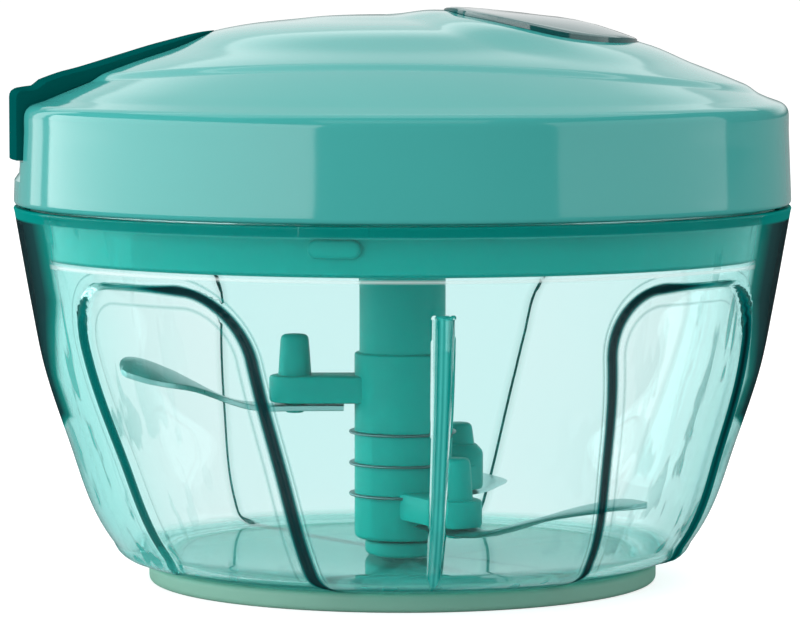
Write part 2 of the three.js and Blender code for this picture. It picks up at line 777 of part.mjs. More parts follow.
/** The oval plate let into the swell, grown by a clearance when it cuts its pocket. */
function plateBody(grow, lift) {
  const rowAt = (share, height) => evenTurns(midSides).map((turn) => {
    const x = swellOffset + (plateLength + grow) * share * Math.cos(radians(turn));
    const y = (plateBreadth + grow) * share * Math.sin(radians(turn));
    return new THREE.Vector3(x, y, lidTopAt(x, y) + height);
  });
  return skin([
    ...plateRowShares.map((share) => rowAt(share, plateProud + lift)),
    rowAt(plateRimShare, plateProud + lift),
    rowAt(1, plateProud * plateRoundShare + lift),
    rowAt(1, -plateSink - grow),
    ...plateRowShares.toReversed().map((share) => rowAt(share, -plateSink - grow)),
  ]);
}

function lidShellGeometry() {
  const rows = [...domeRowShares, creaseRunShare].map((share) =>
    lidTurns.map((turn) => {
      const point = polar(share * creaseReachAt(turn), turn, 0);
      return point.setZ(lidTopAt(point.x, point.y));
    }));
  for (const share of brimRowShares) {
    rows.push(lidTurns.map((turn) => {
      const reach = THREE.MathUtils.lerp(creaseReachAt(turn), domeShoulderShare * bowlRadius, share);
      return polar(reach, turn, domeHeightAt(reach));
    }));
  }
  const ceiling = (radius) => domeHeightAt(radius) - lidWall;
  const [roundOut, roundDown] = shoulderRoundShares;
  rows.push(
    plainRow(bowlRadius - skirtDraft * roundOut, shoulderHeight - shoulderDrop * roundDown),
    plainRow(bowlRadius - skirtDraft, shoulderHeight - shoulderDrop),
    plainRow(bowlRadius, lidBottom + lidEdgeRound),
    plainRow(bowlRadius - lidEdgeRound, lidBottom),
    plainRow(lidInnerRadius, lidBottom),
    plainRow(lidInnerRadius - skirtDraft, shoulderHeight - lidWall / 2),
    ...ceilingRowShares.map((share) => plainRow(lidInnerRadius * share, ceiling(lidInnerRadius * share))));
  const bossBottom = plateTop + seatGap;
  const bosses = evenTurns(screwCount, screwFirstTurn).map((turn) => {
    const at = polar(screwRing, turn, 0);
    const top = ceiling(screwRing + bossRadius) + lidWall / 2;
    return moved(rod(bossRadius, bossBottom, top, smallSides), at.x, at.y);
  });
  const bossBores = evenTurns(screwCount, screwFirstTurn).map((turn) => {
    const at = polar(screwRing, turn, 0);
    const top = plateUnder + screwLength + seatGap;
    return moved(rod(screwRadius + seatGap, bossBottom - cutOverrun, top, screwSides), at.x, at.y);
  });
  const arbor = rod(arborRadius, springBottom, ceiling(0) + lidWall / 2, midSides);
  const axleBore = rod(axleRadius + seatGap, springBottom - cutOverrun, ceiling(0) - lidWall + seatGap);
  const cordHole = rodAlongX(eyeletRadius + seatGap, -bowlRadius - cutOverrun, -lidInnerRadius + cutOverrun);
  return cut(
    join(skin(rows), ...bosses, arbor),
    handleBody(seatGap), plateBody(seatGap, cutOverrun), handleScoop(), moved(cordHole, 0, 0, cordHeight),
    axleBore, ...bossBores);
}

/** The shallow scoop below the handle's edge, where a fingertip catches it. */
function handleScoop() {
  const inner = bowlRadius - fingerScoopDepth - skirtDraft;
  const half = handleHalfWidth * fingerScoopWidthShare;
  const rowAt = (height, radius) => handleLateralShares.map((share) =>
    new THREE.Vector3(-Math.sqrt(radius * radius - (share * half) ** 2), share * half, height));
  const outer = bowlRadius + cutOverrun;
  const band = (height, depthRadius) => [...rowAt(height, outer), ...rowAt(height, depthRadius).toReversed()];
  return skin([
    band(handleBottom - fingerScoopDrop, bowlRadius + seatGap),
    band(handleBottom - fingerScoopDrop / 2, inner),
    band(handleBottom - seatGap / 2, inner),
  ], { band: true });
}

// Inner lid, seal and screws

function innerLidGeometry() {
  const flangeRadius = lidInnerRadius - skirtDraft - seatGap;
  const bushHole = shaftRadius + runGap + bushShell + seatGap;
  const collar = bushHole + collarWall;
  const body = revolve([
    [plugRadius - plugWall, plugBottom], [plugRadius, plugBottom], [plugRadius, plugFlangeBottom],
    [flangeRadius, plugFlangeBottom], [flangeRadius, plugFlangeBottom + plugFlangeThick],
    [plugRadius - plugWall, plugFlangeBottom + plugFlangeThick], [plugRadius - plugWall, plateTop],
    [collar, plateTop], [collar, plateTop + collarHeight], [bushHole, plateTop + collarHeight],
    [bushHole, plateUnder], [plugRadius - plugWall, plateUnder],
  ], wideSides);
  const lug = new THREE.Shape();
  const round = lugHeight / 2;
  lug.absarc(lugWidth / 2 - round, 0, round, -Math.PI / 2, Math.PI / 2, false);
  lug.absarc(round - lugWidth / 2, 0, round, Math.PI / 2, -Math.PI / 2, false);
  const depth = lugReach + plugWall / 2;
  const lugPiece = new THREE.ExtrudeGeometry(lug, { depth, bevelEnabled: false, curveSegments: 4 });
  lugPiece.rotateX(Math.PI / 2).rotateZ(Math.PI / 2);
  lugPiece.translate(plugRadius - plugWall / 2, 0, bowlHeight - lipDepth - lugDrop);
  const lugs = evenTurns(lugCount, lugTurn).map((turn) => turned(lugPiece, turn));
  const hole = rod(screwRadius + seatGap, plateUnder - cutOverrun, plateTop + cutOverrun, screwSides);
  const holes = evenTurns(screwCount, screwFirstTurn).map((turn) => {
    const at = polar(screwRing, turn, 0);
    return moved(hole, at.x, at.y);
  });
  return cut(join(body, ...lugs), ...holes);
}

function sealGeometry() {
  const outer = lidInnerRadius - skirtDraft - seatGap;
  return ring(outer - sealWidth, outer, sealBottom, sealBottom + sealHeight, wideSides);
}

function screwGeometry() {
  const headTop = plateUnder - seatGap;
  const shank = revolve([
    [0, headTop - screwHeadHeight], [screwHeadRadius - screwSlotDepth, headTop - screwHeadHeight],
    [screwHeadRadius, headTop - screwHeadHeight / 2], [screwHeadRadius, headTop], [screwRadius, headTop],
    [screwRadius, plateUnder + screwLength - screwRadius], [0, plateUnder + screwLength],
  ], screwSides);
  const slot = new THREE.BoxGeometry(2 * screwHeadRadius + cutOverrun, screwSlotWidth, 2 * screwSlotDepth);
  return cut(shank, slot.translate(0, 0, headTop - screwHeadHeight));
}

// Drive: shaft bush, shaft, ratchet wheel and pawls

function shaftBushGeometry() {
  const inner = shaftRadius + runGap;
  const outer = inner + bushShell;
  const rimBottom = plateUnder - seatGap - bushRimThick;
  return revolve([
    [inner, rimBottom], [outer + bushRim, rimBottom], [outer + bushRim, rimBottom + bushRimThick],
    [outer, rimBottom + bushRimThick], [outer, plateTop + collarHeight], [inner, plateTop + collarHeight],
  ], midSides);
}

function driveShaftGeometry() {
  const shaftBottom = plateUnder - seatGap - bushRimThick;
  const bore = axleRadius + runGap;
  const boreBottom = plateTop;
  const journal = revolve([
    [0, shaftBottom], [shaftRadius, shaftBottom], [shaftRadius, plateTop + collarHeight + seatGap],
    [shaftHubRadius, plateTop + collarHeight + seatGap], [shaftHubRadius, ratchetTop], [bore, ratchetTop],
    [bore, boreBottom], [0, boreBottom],
  ], smallSides);
  const hex = prism(hexagon(hexCorner), columnTop - hexLength, shaftBottom + seatGap);
  return join(journal, hex);
}

/** Ratchet wheel: each tooth has a steep face and a long ramp. */
function ratchetGeometry() {
  const wheel = new THREE.Shape();
  const root = ratchetRadius - ratchetToothDepth;
  evenTurns(ratchetTeeth).forEach((turn, i) => {
    const rampEnd = polar(root, turn + ratchetRampShare * (360 / ratchetTeeth), 0);
    const crest = polar(ratchetRadius, turn, 0);
    if (i === 0) wheel.moveTo(crest.x, crest.y);
    else wheel.lineTo(crest.x, crest.y);
    wheel.lineTo(rampEnd.x, rampEnd.y);
  });
  wheel.closePath();
  const bore = rod(shaftHubRadius + seatGap, ratchetBottom - cutOverrun, ratchetTop + cutOverrun, smallSides);
  return cut(prism(wheel, ratchetBottom, ratchetTop), bore);
}

/** Where a pawl's nose rests: just outside a tooth's root, in the wheel's own frame. */
const pawlNose = () => polar(ratchetRadius + seatGap - ratchetToothDepth / 2, pawlLeanTurn, 0);

/** A pawl: an eye on its pin and an arm that tapers to the nose. */
function pawlGeometry() {
  const [low, high] = [ratchetBottom + seatGap, ratchetTop - seatGap];
  const nose = pawlNose();
  const eye = new THREE.Vector3(pawlRing, 0, 0);
  const along = nose.clone().sub(eye).normalize();
  const across = new THREE.Vector3(-along.y, along.x, 0);
  const corner = (from, step, side) => {
    const point = from.clone().addScaledVector(along, step).addScaledVector(across, side);
    return new THREE.Vector2(point.x, point.y);
  };
  const arm = new THREE.Shape([
    corner(eye, 0, -pawlEyeRadius * pawlArmShare), corner(nose, 0, -pawlNoseWidth / 2),
    corner(nose, 0, pawlNoseWidth / 2), corner(eye, 0, pawlEyeRadius * pawlArmShare),
  ]);
  const wheelClear = rod(ratchetRadius + seatGap, low - cutOverrun, high + cutOverrun, midSides);
  const clearedArm = cut(prism(arm, low, high), wheelClear);
  const eyeRing = moved(rod(pawlEyeRadius, low, high, smallSides), pawlRing, 0);
  const bore = rod(pawlPinRadius + seatGap, low - cutOverrun, high + cutOverrun, screwSides);
  return cut(join(clearedArm, eyeRing), moved(bore, pawlRing, 0));
}

/** The pin that carries a pawl, pressed up into the reel, with a head under the pawl. */
function pawlPinGeometry() {
  const headTop = ratchetBottom;
  const headBottom = headTop - pawlSpringThick;
  const headRadius = pawlPinRadius + seatGap + pawlSpringThick;
  return moved(revolve([
    [0, headBottom], [headRadius, headBottom], [headRadius, headTop], [pawlPinRadius, headTop],
    [pawlPinRadius, drumBottom - seatGap], [0, drumBottom - seatGap],
  ], screwSides), pawlRing, 0);
}

/** A bent leaf that presses a pawl towards the wheel; its root sits in a slot in the reel's flange. */
function pawlSpringGeometry() {
  const low = ratchetBottom + ratchetThick * pawlSpringRootShare;
  const start = polar(reelFlangeRadius - pawlEyeRadius, pawlLeanTurn, 0);
  const end = polar(ratchetRadius + pawlSpringGap + pawlNoseWidth * 2, pawlLeanTurn * pawlSpringTurnShare, 0);
  const up = new THREE.Vector3(0, 0, 1);
  const bend = start.clone().add(end).divideScalar(2).applyAxisAngle(up, radians(pawlSpringBendTurn));
  const curve = new THREE.QuadraticBezierCurve3(start, bend, end);
  const rows = [];
  for (let i = 0; i <= pawlSpringSteps; i++) {
    const point = curve.getPoint(i / pawlSpringSteps);
    const way = curve.getTangent(i / pawlSpringSteps);
    const side = new THREE.Vector3(-way.y, way.x, 0).multiplyScalar(pawlSpringThick / 2);
    const top = i < 2 ? reelBottom - seatGap : ratchetTop - seatGap;
    rows.push([
      point.clone().add(side).setZ(low), point.clone().sub(side).setZ(low),
      point.clone().sub(side).setZ(top), point.clone().add(side).setZ(top),
    ]);
  }
  return skin(rows);
}

// Reel, winding, spring and axle

function reelGeometry() {
  const bore = axleRadius + runGap;
  const cupInner = cupRadius - cupWall;
  const body = revolve([
    [bore, reelBottom], [reelFlangeRadius, reelBottom], [reelFlangeRadius, drumBottom],
    [reelDrumRadius, drumBottom], [reelDrumRadius, drumTop], [reelFlangeRadius, drumTop],
    [reelFlangeRadius, reelTop], [cupRadius, reelTop], [cupRadius, cupTop], [cupInner, cupTop],
    [cupInner, reelTop], [bore, reelTop],
  ], midSides);
  const recess = ring(
    bore + reelHubWall, reelDrumRadius - reelHubWall, reelBottom - cutOverrun, drumTop - reelFlangeThick);
  const pinBore = rod(pawlPinRadius + seatGap, reelBottom - cutOverrun, drumBottom + seatGap, screwSides);
  const pins = evenTurns(pawlCount, pawlFirstTurn).map((turn) => {
    const at = polar(pawlRing, turn, 0);
    return moved(pinBore, at.x, at.y);
  });
  return cut(body, recess, ...pins);
}

function windingGeometry() {
  return ring(reelDrumRadius + seatGap, windingRadius, drumBottom + seatGap, drumTop - seatGap, midSides);
}

/** The return spring: a flat strip wound from the arbor out to the cup. */
function springGeometry() {
  const first = arborRadius + seatGap + springThick / 2;
  const last = cupRadius - cupWall - seatGap - springThick / 2;
  const steps = springTurns * springStepsPerTurn;
  const rows = [];
  for (let i = 0; i <= steps; i++) {
    const turn = (360 * i) / springStepsPerTurn;
    const radius = THREE.MathUtils.lerp(first, last, i / steps);
    const [inner, outer] = [radius - springThick / 2, radius + springThick / 2];
    rows.push([
      polar(inner, turn, springBottom), polar(outer, turn, springBottom),
      polar(outer, turn, springTop), polar(inner, turn, springTop),
    ]);
  }
  return skin(rows);
}

function springCoverGeometry() {
  return ring(arborRadius + runGap, cupRadius, cupTop + seatGap, cupTop + seatGap + coverThick);
}

function axleGeometry() {
  const top = domeHeightAt(0) - 2 * lidWall;
  return rod(axleRadius, plateTop + seatGap, top);
}

// Cord, eyelet and handle

/** The stretch of cord from the winding's edge, through the eyelet, to the handle. */
function cordRunGeometry() {
  const exit = bowlRadius - handleSinkSide - runGap;
  const wind = windingRadius + cordRadius + seatGap;
  const lean = THREE.MathUtils.radToDeg(Math.acos(wind / (lidInnerRadius - eyeletLength)));
  const leave = polar(wind, 180 + lean, cordHeight);
  const guide = new THREE.Vector3(-lidInnerRadius + eyeletLength, 0, cordHeight);
  const bend = guide.clone().lerp(leave, cordBendShare);
  const inner = guide.clone().lerp(new THREE.Vector3(-exit, 0, cordHeight), cordGuideShare);
  const route = new THREE.CurvePath();
  route.add(new THREE.LineCurve3(leave, bend));
  route.add(new THREE.QuadraticBezierCurve3(bend, guide, inner));
  route.add(new THREE.LineCurve3(inner, new THREE.Vector3(-exit, 0, cordHeight)));
  const up = new THREE.Vector3(0, 0, 1);
  const rows = cordRowShares.map((share) => {
    const point = route.getPointAt(share);
    const way = route.getTangentAt(share);
    const side = new THREE.Vector3(-way.y, way.x, 0);
    return evenTurns(cordSides).map((turn) => point.clone()
      .addScaledVector(side, cordRadius * Math.cos(radians(turn)))
      .addScaledVector(up, cordRadius * Math.sin(radians(turn))));
  });
  return skin(rows);
}

function eyeletGeometry() {
  const front = bowlRadius - handleSinkSide - 2 * seatGap;
  const rimFront = lidInnerRadius - skirtDraft - seatGap;
  const bore = eyeletBore;
  const profile = revolve([
    [bore, -front], [eyeletRadius, -front], [eyeletRadius, -rimFront], [eyeletRadius + eyeletRim, -rimFront],
    [eyeletRadius + eyeletRim, -rimFront + eyeletRimThick], [bore, -rimFront + eyeletRimThick],
  ], smallSides);
  return profile.rotateY(Math.PI / 2).translate(0, 0, cordHeight);
}

function handleGeometry() {
  const hole = rodAlongX(ferruleRadius + seatGap, -bowlRadius - 2 * cutOverrun, -bowlRadius + cutOverrun);
  return cut(handleBody(0), hole.translate(0, 0, cordHeight));
}

function ferruleGeometry() {
  const inner = bowlRadius - handleSinkSide;
  return rodAlongX(ferruleRadius, -inner - handleSideThick, -inner).translate(0, 0, cordHeight);
}

// The chopper

const chopper = new THREE.Group();
const add = (name, geometry, material, parent = chopper) => {
  const mesh = new THREE.Mesh(geometry, material);
  mesh.name = name;
  parent.add(mesh);
  return mesh;
};

add('base_foot', footGeometry(), finishes.paleFoot());
add('bowl', bowlGeometry(), finishes.clearBowl());
add('spindle_pin', pinGeometry(), finishes.steel());

const bladeUnit = new THREE.Group();
chopper.add(bladeUnit);
add('pivot_bush', bushGeometry(), finishes.tealMoulding(), bladeUnit);
add('blade_column', columnGeometry(), finishes.tealMoulding(), bladeUnit);
washerHeights.forEach((height, i) => {
  add(`column_washer_${i + 1}`, washerGeometry(height), finishes.steel(), bladeUnit);
});
arms.forEach((arm, i) => {
  add(`blade_${i + 1}`, bladeGeometry(arm), finishes.steel(), bladeUnit).rotation.z = radians(arm.turn);
});

const lid = new THREE.Group();
chopper.add(lid);
add('lid_shell', lidShellGeometry(), finishes.mintShell(), lid);
add('top_plate', plateBody(0, 0), finishes.darkTeal(), lid);
add('inner_lid', innerLidGeometry(), finishes.tealMoulding(), lid);
add('seal_ring', sealGeometry(), finishes.silicone(), lid);
add('shaft_bush', shaftBushGeometry(), finishes.whiteMoulding(), lid);
add('axle', axleGeometry(), finishes.steel(), lid);
add('return_spring', springGeometry(), finishes.springSteel(), lid);
add('cord_eyelet', eyeletGeometry(), finishes.steel(), lid);
add('cord_run', cordRunGeometry(), finishes.cord(), lid);
evenTurns(screwCount, screwFirstTurn).forEach((turn, i) => {
  const screw = add(`lid_screw_${i + 1}`, screwGeometry(), finishes.steel(), lid);
  screw.position.copy(polar(screwRing, turn, 0));
});

const drive = new THREE.Group();
lid.add(drive);
add('drive_shaft', driveShaftGeometry(), finishes.whiteMoulding(), drive);
add('ratchet_wheel', ratchetGeometry(), finishes.whiteMoulding(), drive);

const reel = new THREE.Group();
lid.add(reel);
add('reel', reelGeometry(), finishes.whiteMoulding(), reel);
add('wound_cord', windingGeometry(), finishes.cord(), reel);
add('spring_cover', springCoverGeometry(), finishes.steel(), reel);
evenTurns(pawlCount, pawlFirstTurn).forEach((turn, i) => {
  add(`pawl_${i + 1}`, pawlGeometry(), finishes.whiteMoulding(), reel).rotation.z = radians(turn);
  add(`pawl_pin_${i + 1}`, pawlPinGeometry(), finishes.steel(), reel).rotation.z = radians(turn);
  add(`pawl_spring_${i + 1}`, pawlSpringGeometry(), finishes.springSteel(), reel).rotation.z = radians(turn);
});

const handle = new THREE.Group();
chopper.add(handle);
add('pull_handle', handleGeometry(), finishes.darkTeal(), handle);
add('cord_ferrule', ferruleGeometry(), finishes.steel(), handle);

export default chopper;
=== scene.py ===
"""Looks of a hand-pulled mini food chopper, built around its packed CAD frame.

A clear teal bowl stands on a pale foot. Inside it a blade unit turns on a pin, and on top sits a domed
mint lid with a pull handle, an oval plate and the cord reel under its shell. Sizes are written in
millimetres in each sub-assembly's class and become metres when a mesh is made.
"""

from __future__ import annotations

import logging
import math
from dataclasses import dataclass, field
from enum import Enum
from typing import Any, Callable, Sequence

import bmesh
import bpy
import numpy as np
from mathutils import Matrix, Vector


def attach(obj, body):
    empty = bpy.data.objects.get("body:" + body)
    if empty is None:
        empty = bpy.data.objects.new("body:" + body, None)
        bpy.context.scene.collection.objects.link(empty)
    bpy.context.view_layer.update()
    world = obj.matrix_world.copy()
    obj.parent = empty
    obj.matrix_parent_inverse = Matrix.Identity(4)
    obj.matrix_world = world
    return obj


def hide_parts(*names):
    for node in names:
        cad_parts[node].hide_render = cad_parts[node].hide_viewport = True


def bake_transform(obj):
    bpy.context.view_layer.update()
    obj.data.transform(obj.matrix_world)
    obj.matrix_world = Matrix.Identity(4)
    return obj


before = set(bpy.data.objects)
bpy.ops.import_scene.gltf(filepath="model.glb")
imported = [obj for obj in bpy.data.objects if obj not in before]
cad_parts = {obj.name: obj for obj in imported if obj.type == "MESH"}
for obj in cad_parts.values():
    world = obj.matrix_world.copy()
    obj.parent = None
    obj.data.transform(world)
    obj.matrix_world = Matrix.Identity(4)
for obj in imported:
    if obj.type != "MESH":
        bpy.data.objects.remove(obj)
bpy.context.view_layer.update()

LOG = logging.getLogger("chopper")
MM = 0.001
SHARP = 38.0
WHITE = (1, 1, 1)
LAMP_AIM = Vector((0, 0, 0.05))
RAYS = ("Is Camera Ray", "Is Glossy Ray", "Is Transmission Ray")

Object = bpy.types.Object
Colour = tuple[float, float, float]
Point = tuple[float, float, float]
Line = Sequence[tuple[float, float]]
Profile = Sequence[tuple[float, float, float]]
Curve = tuple[tuple[float, float], ...]
Stops = tuple[tuple[float, Colour], ...]


# ---- Small helpers -------------------------------------------------------------------------------


def tone(red: int, green: int, blue: int) -> Colour:
    """A display colour of 0 to 255 a channel as linear light."""
    def linear(value: int) -> float:
        """One display channel as linear light."""
        share = value / 255
        return share / 12.92 if share <= 0.04045 else ((share + 0.055) / 1.055) ** 2.4

    return linear(red), linear(green), linear(blue)


def polar(radius: float, turn: float, height: float = 0.0) -> Point:
    """The point at a radius, a turn in degrees and a height."""
    angle = math.radians(turn)
    return radius * math.cos(angle), radius * math.sin(angle), height


def on_side(radius: float, y: float, height: float) -> Point:
    """The point on the handle's side of a circle, at a distance from the middle plane."""
    return -math.sqrt(radius ** 2 - y ** 2), y, height


def clamp(value: float) -> float:
    """The value held between 0 and 1."""
    return min(1.0, max(0.0, value))


def smooth(value: float) -> float:
    """An S-shaped step from 0 to 1."""
    share = clamp(value)
    return share * share * (3 - 2 * share)


def mix(start: float, end: float, share: float) -> float:
    """The value a share of the way from start to end."""
    return start + (end - start) * share


def follow(points: Line, place: float) -> float:
    """Reads a smooth curve through sorted points.

    Args:
        points: (place, value) pairs in rising order of place.
        place: Where along them the value is wanted.

    Returns:
        The curve's value there.
    """
    last = len(points) - 1
    i = 0
    while i < last - 1 and place > points[i + 1][0]:
        i += 1
    (x0, y0), (x1, y1) = points[i], points[i + 1]

    def slope(a: tuple[float, float], b: tuple[float, float]) -> float:
        """Rise over run between two points."""
        return (b[1] - a[1]) / (b[0] - a[0])

    here = slope(points[i], points[i + 1])
    start = (slope(points[i - 1], points[i]) + here) / 2 if i > 0 else here
    end = (slope(points[i + 1], points[i + 2]) + here) / 2 if i + 2 <= last else here
    span = x1 - x0
    t = (place - x0) / span
    t2, t3 = t * t, t * t * t
    return (
        (2 * t3 - 3 * t2 + 1) * y0 + (t3 - 2 * t2 + t) * span * start
        + (3 * t2 - 2 * t3) * y1 + (t3 - t2) * span * end
    )


def filleted(corners: Profile, steps: int = 4, closed: bool = True) -> list[tuple[float, float]]:
    """Rounds the corners of a section.

    Args:
        corners: (radius, height, fillet) of each corner, in order.
        steps: Pieces that each rounded corner is made of.
        closed: Whether the section's last corner joins its first.

    Returns:
        The (radius, height) points of the rounded section.
    """
    points = []
    count = len(corners)
    for i, (x, y, fillet) in enumerate(corners):
        at_end = not closed and i in (0, count - 1)
        if fillet <= 0 or at_end:
            points.append((x, y))
            continue
        here = Vector((x, y))
        before = Vector(corners[i - 1][:2]) - here
        after = Vector(corners[(i + 1) % count][:2]) - here
        reach = min(fillet, before.length * 0.49, after.length * 0.49)
        first, last = here + before.normalized() * reach, here + after.normalized() * reach
        for k in range(steps + 1):
            t = k / steps
            point = first * (1 - t) ** 2 + here * (2 * t * (1 - t)) + last * t * t
            points.append((point.x, point.y))
    return points


def evenly(line: Line, count: int) -> list[Vector]:
    """Points at even steps along a flat line."""
    spots = [Vector(point) for point in line]
    steps = [0.0, *np.cumsum([(b - a).length for a, b in zip(spots, spots[1:])])]
    places = np.linspace(0, steps[-1], count)
    xs = np.interp(places, steps, [spot.x for spot in spots])
    ys = np.interp(places, steps, [spot.y for spot in spots])
    return [Vector((float(x), float(y))) for x, y in zip(xs, ys)]


# ---- Meshes --------------------------------------------------------------------------------------


def linked(name: str, data: Any) -> Object:
    """A new object in the scene around a mesh, a lamp or a camera."""
    obj = bpy.data.objects.new(name, data)
    bpy.context.scene.collection.objects.link(obj)
    return obj


@dataclass
class Shape:
    """Points in millimetres and the faces between them."""

    points: list[Point] = field(default_factory=list)
    faces: list[tuple[int, ...]] = field(default_factory=list)

    def add(self, *others: "Shape") -> "Shape":
        """Takes in other shapes and returns this one."""
        for other in others:
            base = len(self.points)
            self.points.extend(other.points)
            self.faces.extend(tuple(base + i for i in face) for face in other.faces)
        return self

    def changed(self, change: Callable[[Point], Point]) -> "Shape":
        """A copy whose points have gone through a function."""
        return Shape([change(point) for point in self.points], list(self.faces))

    def moved(self, x: float = 0.0, y: float = 0.0, z: float = 0.0) -> "Shape":
        """A copy that has been shifted."""
        return self.changed(lambda p: (p[0] + x, p[1] + y, p[2] + z))

    def turned(self, degrees: float) -> "Shape":
        """A copy turned about the upright axis."""
        c, s, _ = polar(1, degrees)
        return self.changed(lambda p: (c * p[0] - s * p[1], s * p[0] + c * p[1], p[2]))

    def along_x(self, height: float) -> "Shape":
        """A copy whose upright axis lies along X instead, at a height."""
        return self.changed(lambda p: (p[2], p[1], height - p[0]))

    def piece(self, name: str, sharp: float = SHARP, bevel: float = 0.0, merge: float = 2e-3) -> Object:
        """Makes the shape a Blender object in metres.

        Args:
            name: The object's name.
            sharp: Angle in degrees from which an edge shows as an edge.
            bevel: Width in millimetres that sharp edges are rounded by.
            merge: Distance in millimetres within which points are joined.

        Returns:
            The new object, at the origin.
        """
        mesh = bpy.data.meshes.new(name)
        mesh.from_pydata([Vector(p) * MM for p in self.points], [], self.faces)
        obj = linked(name, mesh)
        finish_mesh(obj, sharp, bevel * MM, merge * MM)
        return obj


def finish_mesh(obj: Object, sharp: float, bevel: float = 0.0, merge: float = 2e-6) -> None:
    """Joins doubles, faces the mesh outwards, rounds and marks its sharp edges.

    Args:
        obj: The mesh object.
        sharp: Angle in degrees from which an edge counts as sharp.
        bevel: Rounding of sharp edges in metres.
        merge: Distance in metres within which points are joined.
    """
    work = bmesh.new()
    work.from_mesh(obj.data)
    bmesh.ops.remove_doubles(work, verts=work.verts, dist=merge)
    bmesh.ops.dissolve_degenerate(work, dist=merge, edges=work.edges)
    bmesh.ops.recalc_face_normals(work, faces=work.faces)
    limit = math.radians(sharp)
    if bevel > 0:
        edges = [e for e in work.edges if len(e.link_faces) == 2 and e.calc_face_angle(0) > limit]
        bmesh.ops.bevel(
            work, geom=edges, offset=bevel, segments=2, affect="EDGES", clamp_overlap=True, profile=0.6,
        )
    for face in work.faces:
        face.smooth = True
    for edge in work.edges:
        edge.smooth = not (len(edge.link_faces) == 2 and edge.calc_face_angle(0) > limit)
    work.to_mesh(obj.data)
    work.free()


def loft(rows: Sequence[Sequence[Point]], wrap: bool = True, caps: bool = True, band: bool = False) -> Shape:
    """A skin through rows of points.

    Args:
        rows: Rows with the same number of points.
        wrap: Whether each row closes on itself.
        caps: Whether the end rows are closed.
        band: Whether a cap runs straight across a thin row rather than to its middle.

    Returns:
        The skin.
    """
    count = len(rows[0])
    shape = Shape([tuple(p) for row in rows for p in row])
    around = count if wrap else count - 1
    for i in range(len(rows) - 1):
        for k in range(around):
            a, b = i * count + k, i * count + (k + 1) % count
            shape.faces.append((a, b, b + count, a + count))
    if not caps:
        return shape
    for base in (0, (len(rows) - 1) * count):
        if band:
            for k in range(count // 2 - 1):
                shape.faces.append((base + k, base + k + 1, base + count - 2 - k, base + count - 1 - k))
        else:
            middle = tuple(np.mean(shape.points[base:base + count], axis=0))
            shape.points.append(middle)
            last = len(shape.points) - 1
            shape.faces.extend((base + k, base + (k + 1) % count, last) for k in range(around))
    return shape


def full_turn(steps: int) -> list[float]:
    """Even turns in degrees around the axis."""
    return [360 * k / steps for k in range(steps)]


def lathe(section: Line, sides: int) -> Shape:
    """Turns a closed section about the upright axis, from (radius, height) points."""
    rows = [[polar(max(radius, 0.0), turn, height) for turn in full_turn(sides)] for radius, height in section]
    if min(section[0][0], section[-1][0]) > 0:
        rows.append(rows[0])
    return loft(rows, caps=False)


def spun(corners: Profile, sides: int, steps: int = 4) -> Shape:
    """Turns a rounded section, which closes on itself unless it starts at the axis."""
    return lathe(filleted(corners, steps, corners[0][0] > 0), sides)


def rod(radius: float, low: float, high: float, sides: int) -> Shape:
    """A plain upright cylinder."""
    return lathe([(0, low), (radius, low), (radius, high), (0, high)], sides)


def prism(outline: Line, bottom: float, top: float) -> Shape:
    """An upright prism of a flat outline."""
    return loft([[(x, y, bottom) for x, y in outline], [(x, y, top) for x, y in outline]])


def oval_outline(length: float, width: float, steps: int = 10) -> list[tuple[float, float]]:
    """The outline of a bar with round ends, centred on the origin and lying along X."""
    round_end, reach = width / 2, (length - width) / 2
    points = []
    for centre, first in ((reach, -90.0), (-reach, 90.0)):
        for k in range(steps + 1):
            x, y, _ = polar(round_end, first + 180 * k / steps)
            points.append((centre + x, y))
    return points


def tube(route: Sequence[Vector], radius: float, sides: int = 12) -> Shape:
    """A round rod along a route that never runs upright."""
    rows = []
    for i, point in enumerate(route):
        way = route[min(i + 1, len(route) - 1)] - route[max(i - 1, 0)]
        side = Vector((-way.y, way.x, 0)).normalized()
        up = way.normalized().cross(side)
        rows.append([tuple(point + side * radius * c + up * radius * s) for c, s, _ in map(
            lambda turn: polar(1, turn), full_turn(sides))])
    return loft(rows)


def combine(obj: Object, others: Sequence[Object], operation: str, sharp: float) -> None:
    """Runs booleans on an object and removes the objects that they used up.

    Args:
        obj: The object that stays.
        others: Closed objects that are cut out of it or joined to it.
        operation: "DIFFERENCE" or "UNION".
        sharp: Angle in degrees from which an edge shows as an edge.
    """
    for other in others:
        step = obj.modifiers.new(other.name, "BOOLEAN")
        step.operation = operation
        step.solver = "EXACT"
        step.use_self = operation == "UNION"
        step.object = other
    bake(obj)
    for other in others:
        bpy.data.objects.remove(other)
    finish_mesh(obj, sharp)


def without(obj: Object, *cutters: Object, sharp: float = SHARP) -> None:
    """Cuts closed shapes out of an object."""
    combine(obj, cutters, "DIFFERENCE", sharp)


def joined(obj: Object, other: Object) -> None:
    """Takes another object's mesh into the first one's."""
    combine(obj, [other], "UNION", SHARP)


def bake(obj: Object) -> None:
    """Replaces an object's mesh by what its modifiers make of it, and removes them."""
    bpy.context.view_layer.update()
    evaluated = obj.evaluated_get(bpy.context.evaluated_depsgraph_get())
    mesh = bpy.data.meshes.new_from_object(evaluated)
    obj.modifiers.clear()
    obj.data = mesh


# ---- Node graphs ---------------------------------------------------------------------------------


def operator(operation: str, meaning: str, swapped: bool = False) -> Callable[..., "Signal"]:
    """A method of Signal that runs one operation of the Math node."""
    def method(*values: Any) -> "Signal":
        """Runs the operation on the signal and the other values."""
        return values[0].run(operation, *(reversed(values) if swapped else values))

    method.__doc__ = meaning
    return method


